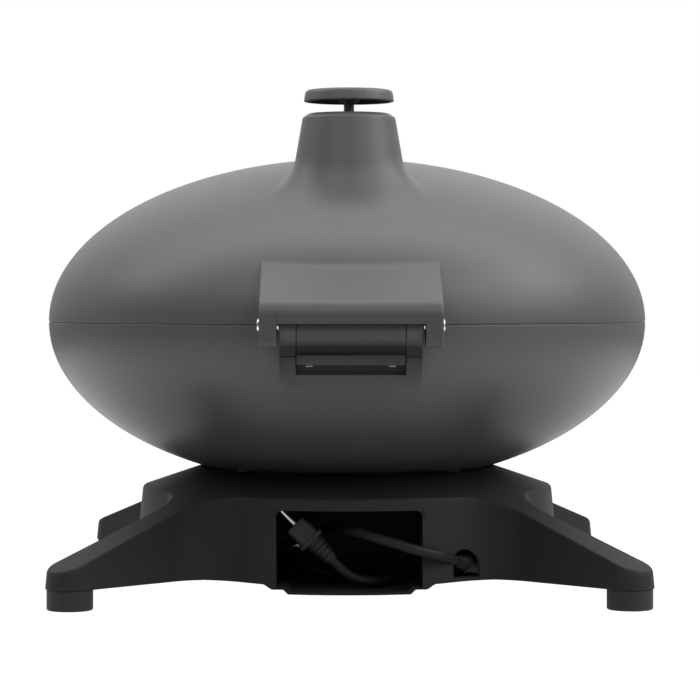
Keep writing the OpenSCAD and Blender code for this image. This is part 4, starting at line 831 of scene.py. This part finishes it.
# Glass-filled nylon, moulded in an etched tool: a matt neutral black with a fine even grain.
base_nylon = finish_of("moulded_glass_filled_nylon", "#212122", "#272728", (0.56, 0.66), **EVEN, gloss=0.3,
                       relief=(1.6, 0.25))
dress(base, base_nylon, "base", "base_plastic", "base_shell")

# Feet
# Four round feet moulded in rubber. Each has a well below for the head of the screw that holds it under its
# leg's end.
FOOT_R, FOOT_H, FOOT_WELL_R, FOOT_WELL_H, FOOT_HOLE_R = 20.0, 18.0, 7.0, 8.0, 3.0
# Rubber, moulded: a soft black, slightly glossier than the base.
foot_rubber = finish_of("moulded_foot_rubber", "#222223", "#29292a", (0.54, 0.66), **EVEN, gloss=0.4,
                        relief=(1.8, 0.25))
foot_line = eased([[FOOT_HOLE_R, FOOT_WELL_H], [FOOT_WELL_R, FOOT_WELL_H], [FOOT_WELL_R, 0], [FOOT_R, 0],
                   [FOOT_R, FOOT_H], [FOOT_HOLE_R, FOOT_H]], [0, 0.4, 0.8, 2, 0.8, 0], 5)
foot_line = np.vstack([foot_line, foot_line[:1]])
for label, end in zip(("rear_left", "rear_right", "front_right", "front_left"), leg_ends):
    foot = turned("foot_" + label + "_rubber", foot_line, (*end, 0), (0, 0, 1), 96)
    dress(foot, foot_rubber, "base", "foot_rubber", "foot_" + label)

# Lid handle
# A round grip moulded in the base's nylon. Two coated posts hold it, which stand out from the front of the
# lid and stay as their solids are.
GRIP_Y, GRIP_Z = -311.7, 277.0
grip_line = eased([[0, -90], [10.2, -90], [11, -84], [11, 84], [10.2, 90], [0, 90]], [0, 3, 4, 4, 3, 0], 6)
grip = turned("handle_grip_bar", grip_line, (0, GRIP_Y, GRIP_Z), (1, 0, 0), 64)
dress(grip, base_nylon, "lid", "base_plastic", "handle_grip")

# Solids that stay as they are
# Flat and turned parts inside, below and at the front keep their shape and get their material's finish.

# Rolled metals: a grain of about 4 mm in tone and sheen.
ROLLED = {"drift_mm": 4, "detail": 4.0, "metal": 1.0}
# Sheet steel, rolled: a light grey metal with its grain drawn out along the grill's depth.
sheet_steel = finish_of("rolled_steel_sheet", "#a3a19d", "#bab8b4", (0.28, 0.4), **ROLLED,
                        stretch=(1.0, 0.06, 1.0))
# Steel of the element's sheath, darkened by heat: a dull brown grey metal.
hot_steel = finish_of("heat_darkened_steel", "#55504b", "#6b645d", (0.4, 0.55), **ROLLED)
# Satin powder coat on steel: nearly black.
dark_coat = finish_of("dark_satin_coat", "#2c2b2b", "#343333", (0.45, 0.55), **COATED)
# Matt powder coat on steel: black with hardly a highlight.
runner_coat = finish_of("matt_black_coat", "#1a1a1a", "#202020", (0.7, 0.8), **COATED, gloss=0.2)
# Nylon, moulded matt: as dark as the base and duller.
tub_nylon = finish_of("matt_nylon", "#202021", "#262627", (0.7, 0.8), **EVEN, gloss=0.25, relief=(1.6, 0.2))
# Enamel on cast iron: a glossy black over a pebbled surface.
enamel = finish_of("enamelled_iron", "#1c1c1c", "#2a2928", (0.25, 0.45), **EVEN, relief=(2.5, 0.5))
# Steatite, pressed and glazed: a smooth cream.
ceramic = finish_of("glazed_steatite", "#c9c2b2", "#d8d2c4", (0.3, 0.45), **EVEN, relief=(3.0, 0.1))
# Woven glass sleeving: a dull red brown with a close rough grain.
sleeving = finish_of("woven_glass_sleeve", "#6b3226", "#874434", (0.6, 0.8), **EVEN, relief=(1.0, 0.5))
# Polycarbonate, moulded: a bright glossy red.
lens_red = finish_of("moulded_red_lens", "#b3261a", "#c4331f", (0.1, 0.2), **EVEN, relief=(4.0, 0.05))
kept = {
    sheet_steel: ["damper_clip", "reflector", "element_posts", "bowl_screws",
                  "foot_screws", "cover_screws", "drip_tray", "dial_plate", "knob_spindle"],
    runner_coat: ["runner_left", "runner_right"],
    dark_coat: ["damper_guide", "handle_post_left", "handle_post_right", "drain_collar"],
    enamel: ["grate_left", "grate_right"],
    hot_steel: ["heating_element"],
    base_nylon: ["underside_cover", "control_knob", "coil_tie"],
    tub_nylon: ["cord_tub"],
    foot_rubber: ["bowl_pads"],
    pvc_sheath: ["mains_lead"],
    ceramic: ["element_bushes", "terminal_block", "thermostat"],
    sleeving: ["wiring_loom"],
    lens_red: ["pilot_lens"],
}
for material, names in kept.items():
    for name in names:
        coat(nodes[name], material)

# Studio
# A flat pale floor in a white room, with large soft lamps above, behind and at both sides. The room gives a
# faint even light, and in reflections it is brightest high up beyond the grill's front.
world = bpy.data.worlds.new("studio")
bpy.context.scene.world = world
world.use_nodes = True
t = world.node_tree
ray = add(t, "LightPath").outputs
way = add(t, "SeparateXYZ", {"Vector": add(t, "TexCoord").outputs["Generated"]}).outputs
front_glow = add(t, "MapRange", {"Value": way["Y"], "From Min": -1.0, "From Max": 0.0,
                                 "To Min": 1.0, "To Max": 0.0})
high_glow = add(t, "MapRange", {"Value": way["Z"], "From Min": 0.0, "From Max": 1.0,
                                "To Min": 0.45, "To Max": 2.2})
room = add(t, "Math", {0: front_glow.outputs["Result"], 1: high_glow.outputs["Result"], 2: 0.1},
           operation="MULTIPLY_ADD")
lit = add(t, "Mix", {0: ray["Is Glossy Ray"], 2: 0.15, 3: room.outputs[0]})
seen = add(t, "Math", {0: ray["Is Camera Ray"], 1: ray["Is Transmission Ray"]}, operation="MAXIMUM")
strength = add(t, "Mix", {0: seen.outputs[0], 2: lit.outputs[0], 3: 1.0})
t.links.new(strength.outputs[0], t.nodes["Background"].inputs["Strength"])
t.nodes["Background"].inputs["Color"].default_value = (1, 1, 1, 1)

FLOOR_W = 12.0
floor_mesh = bpy.data.meshes.new("floor")
floor_mesh.from_pydata([(x, y, 0) for x, y in oblong(FLOOR_W, FLOOR_W)], [], [(0, 1, 2, 3)])
floor = bpy.data.objects.new("floor", floor_mesh)
bpy.context.scene.collection.objects.link(floor)
# White paper: it keeps the grill's shadow and shows white to the camera. In reflections it glows with painted
# light, brightest round the grill, with a painted shadow right under it, and dark far off.
paper = bpy.data.materials.new("white_paper")
paper.use_nodes = True
t = paper.node_tree
matt = t.nodes["Principled BSDF"]
matt.inputs["Base Color"].default_value = (0.24, 0.24, 0.24, 1)
matt.inputs["Roughness"].default_value = 0.9
ray = add(t, "LightPath").outputs
spot = add(t, "TexCoord").outputs["Object"]
off = add(t, "VectorMath", {0: spot, 1: (0, -0.3, 0)}, operation="DISTANCE")
under = add(t, "VectorMath", {0: spot}, operation="LENGTH")
# Painted light: in reflections the floor glows, brightest round the grill and dark far off.
painted_glow_fade = add(t, "MapRange", {"Value": off.outputs["Value"], "From Min": 0.7, "From Max": 1.7,
                           "To Min": 1.9, "To Max": 0.15})
# Painted shadow: the glow is dimmed right under the grill, where the grill's shadow falls.
painted_shadow_dim = add(t, "MapRange", {"Value": under.outputs["Value"], "From Min": 0.2, "From Max": 0.45,
                            "To Min": 0.3, "To Max": 1.0})
painted_glow_in_reflections = add(t, "Math", {0: painted_glow_fade.outputs["Result"], 1: painted_shadow_dim.outputs["Result"]}, operation="MULTIPLY")
level = add(t, "Mix", {0: ray["Is Glossy Ray"], 2: 1.3, 3: painted_glow_in_reflections.outputs[0]})
glow = add(t, "Emission", {"Color": (1, 1, 1, 1), "Strength": level.outputs[0]})
shown = add(t, "Math", {0: ray["Is Camera Ray"], 1: ray["Is Glossy Ray"]}, operation="MAXIMUM")
share = add(t, "Math", {0: shown.outputs[0], 1: 0.8}, operation="MULTIPLY")
both = add(t, "MixShader", {"Fac": share.outputs[0], 1: matt.outputs[0], 2: glow.outputs[0]})
t.links.new(both.outputs[0], t.nodes["Material Output"].inputs["Surface"])
floor_mesh.materials.append(paper)


def softbox(name, place, width, height, power, tint=(1, 1, 1)):
    """A rectangular lamp at a place in metres that faces the grill."""
    lamp = bpy.data.lights.new(name, "AREA")
    lamp.shape = "RECTANGLE"
    lamp.size = width
    lamp.size_y = height
    lamp.energy = power
    lamp.color = tint
    obj = bpy.data.objects.new(name, lamp)
    obj.location = place
    obj.rotation_euler = (Vector((0, 0, 0.25)) - Vector(place)).to_track_quat("-Z", "Y").to_euler()
    bpy.context.scene.collection.objects.link(obj)


for side, label in SIDES:
    softbox("top_" + label + "_box", (1.4 * side, 0, 2.5), 1.3, 3.5, 38)
    softbox("rear_" + label + "_box", (0.9 * side, 1.9, 1.75), 1.2, 0.7, 9.3)
softbox("left_box", (2.0, -0.3, 0.7), 0.8, 1.6, 1.0)
softbox("right_box", (-2.0, 0.8, 1.4), 1.8, 1.4, 20.5, (1, 0.96, 0.92))
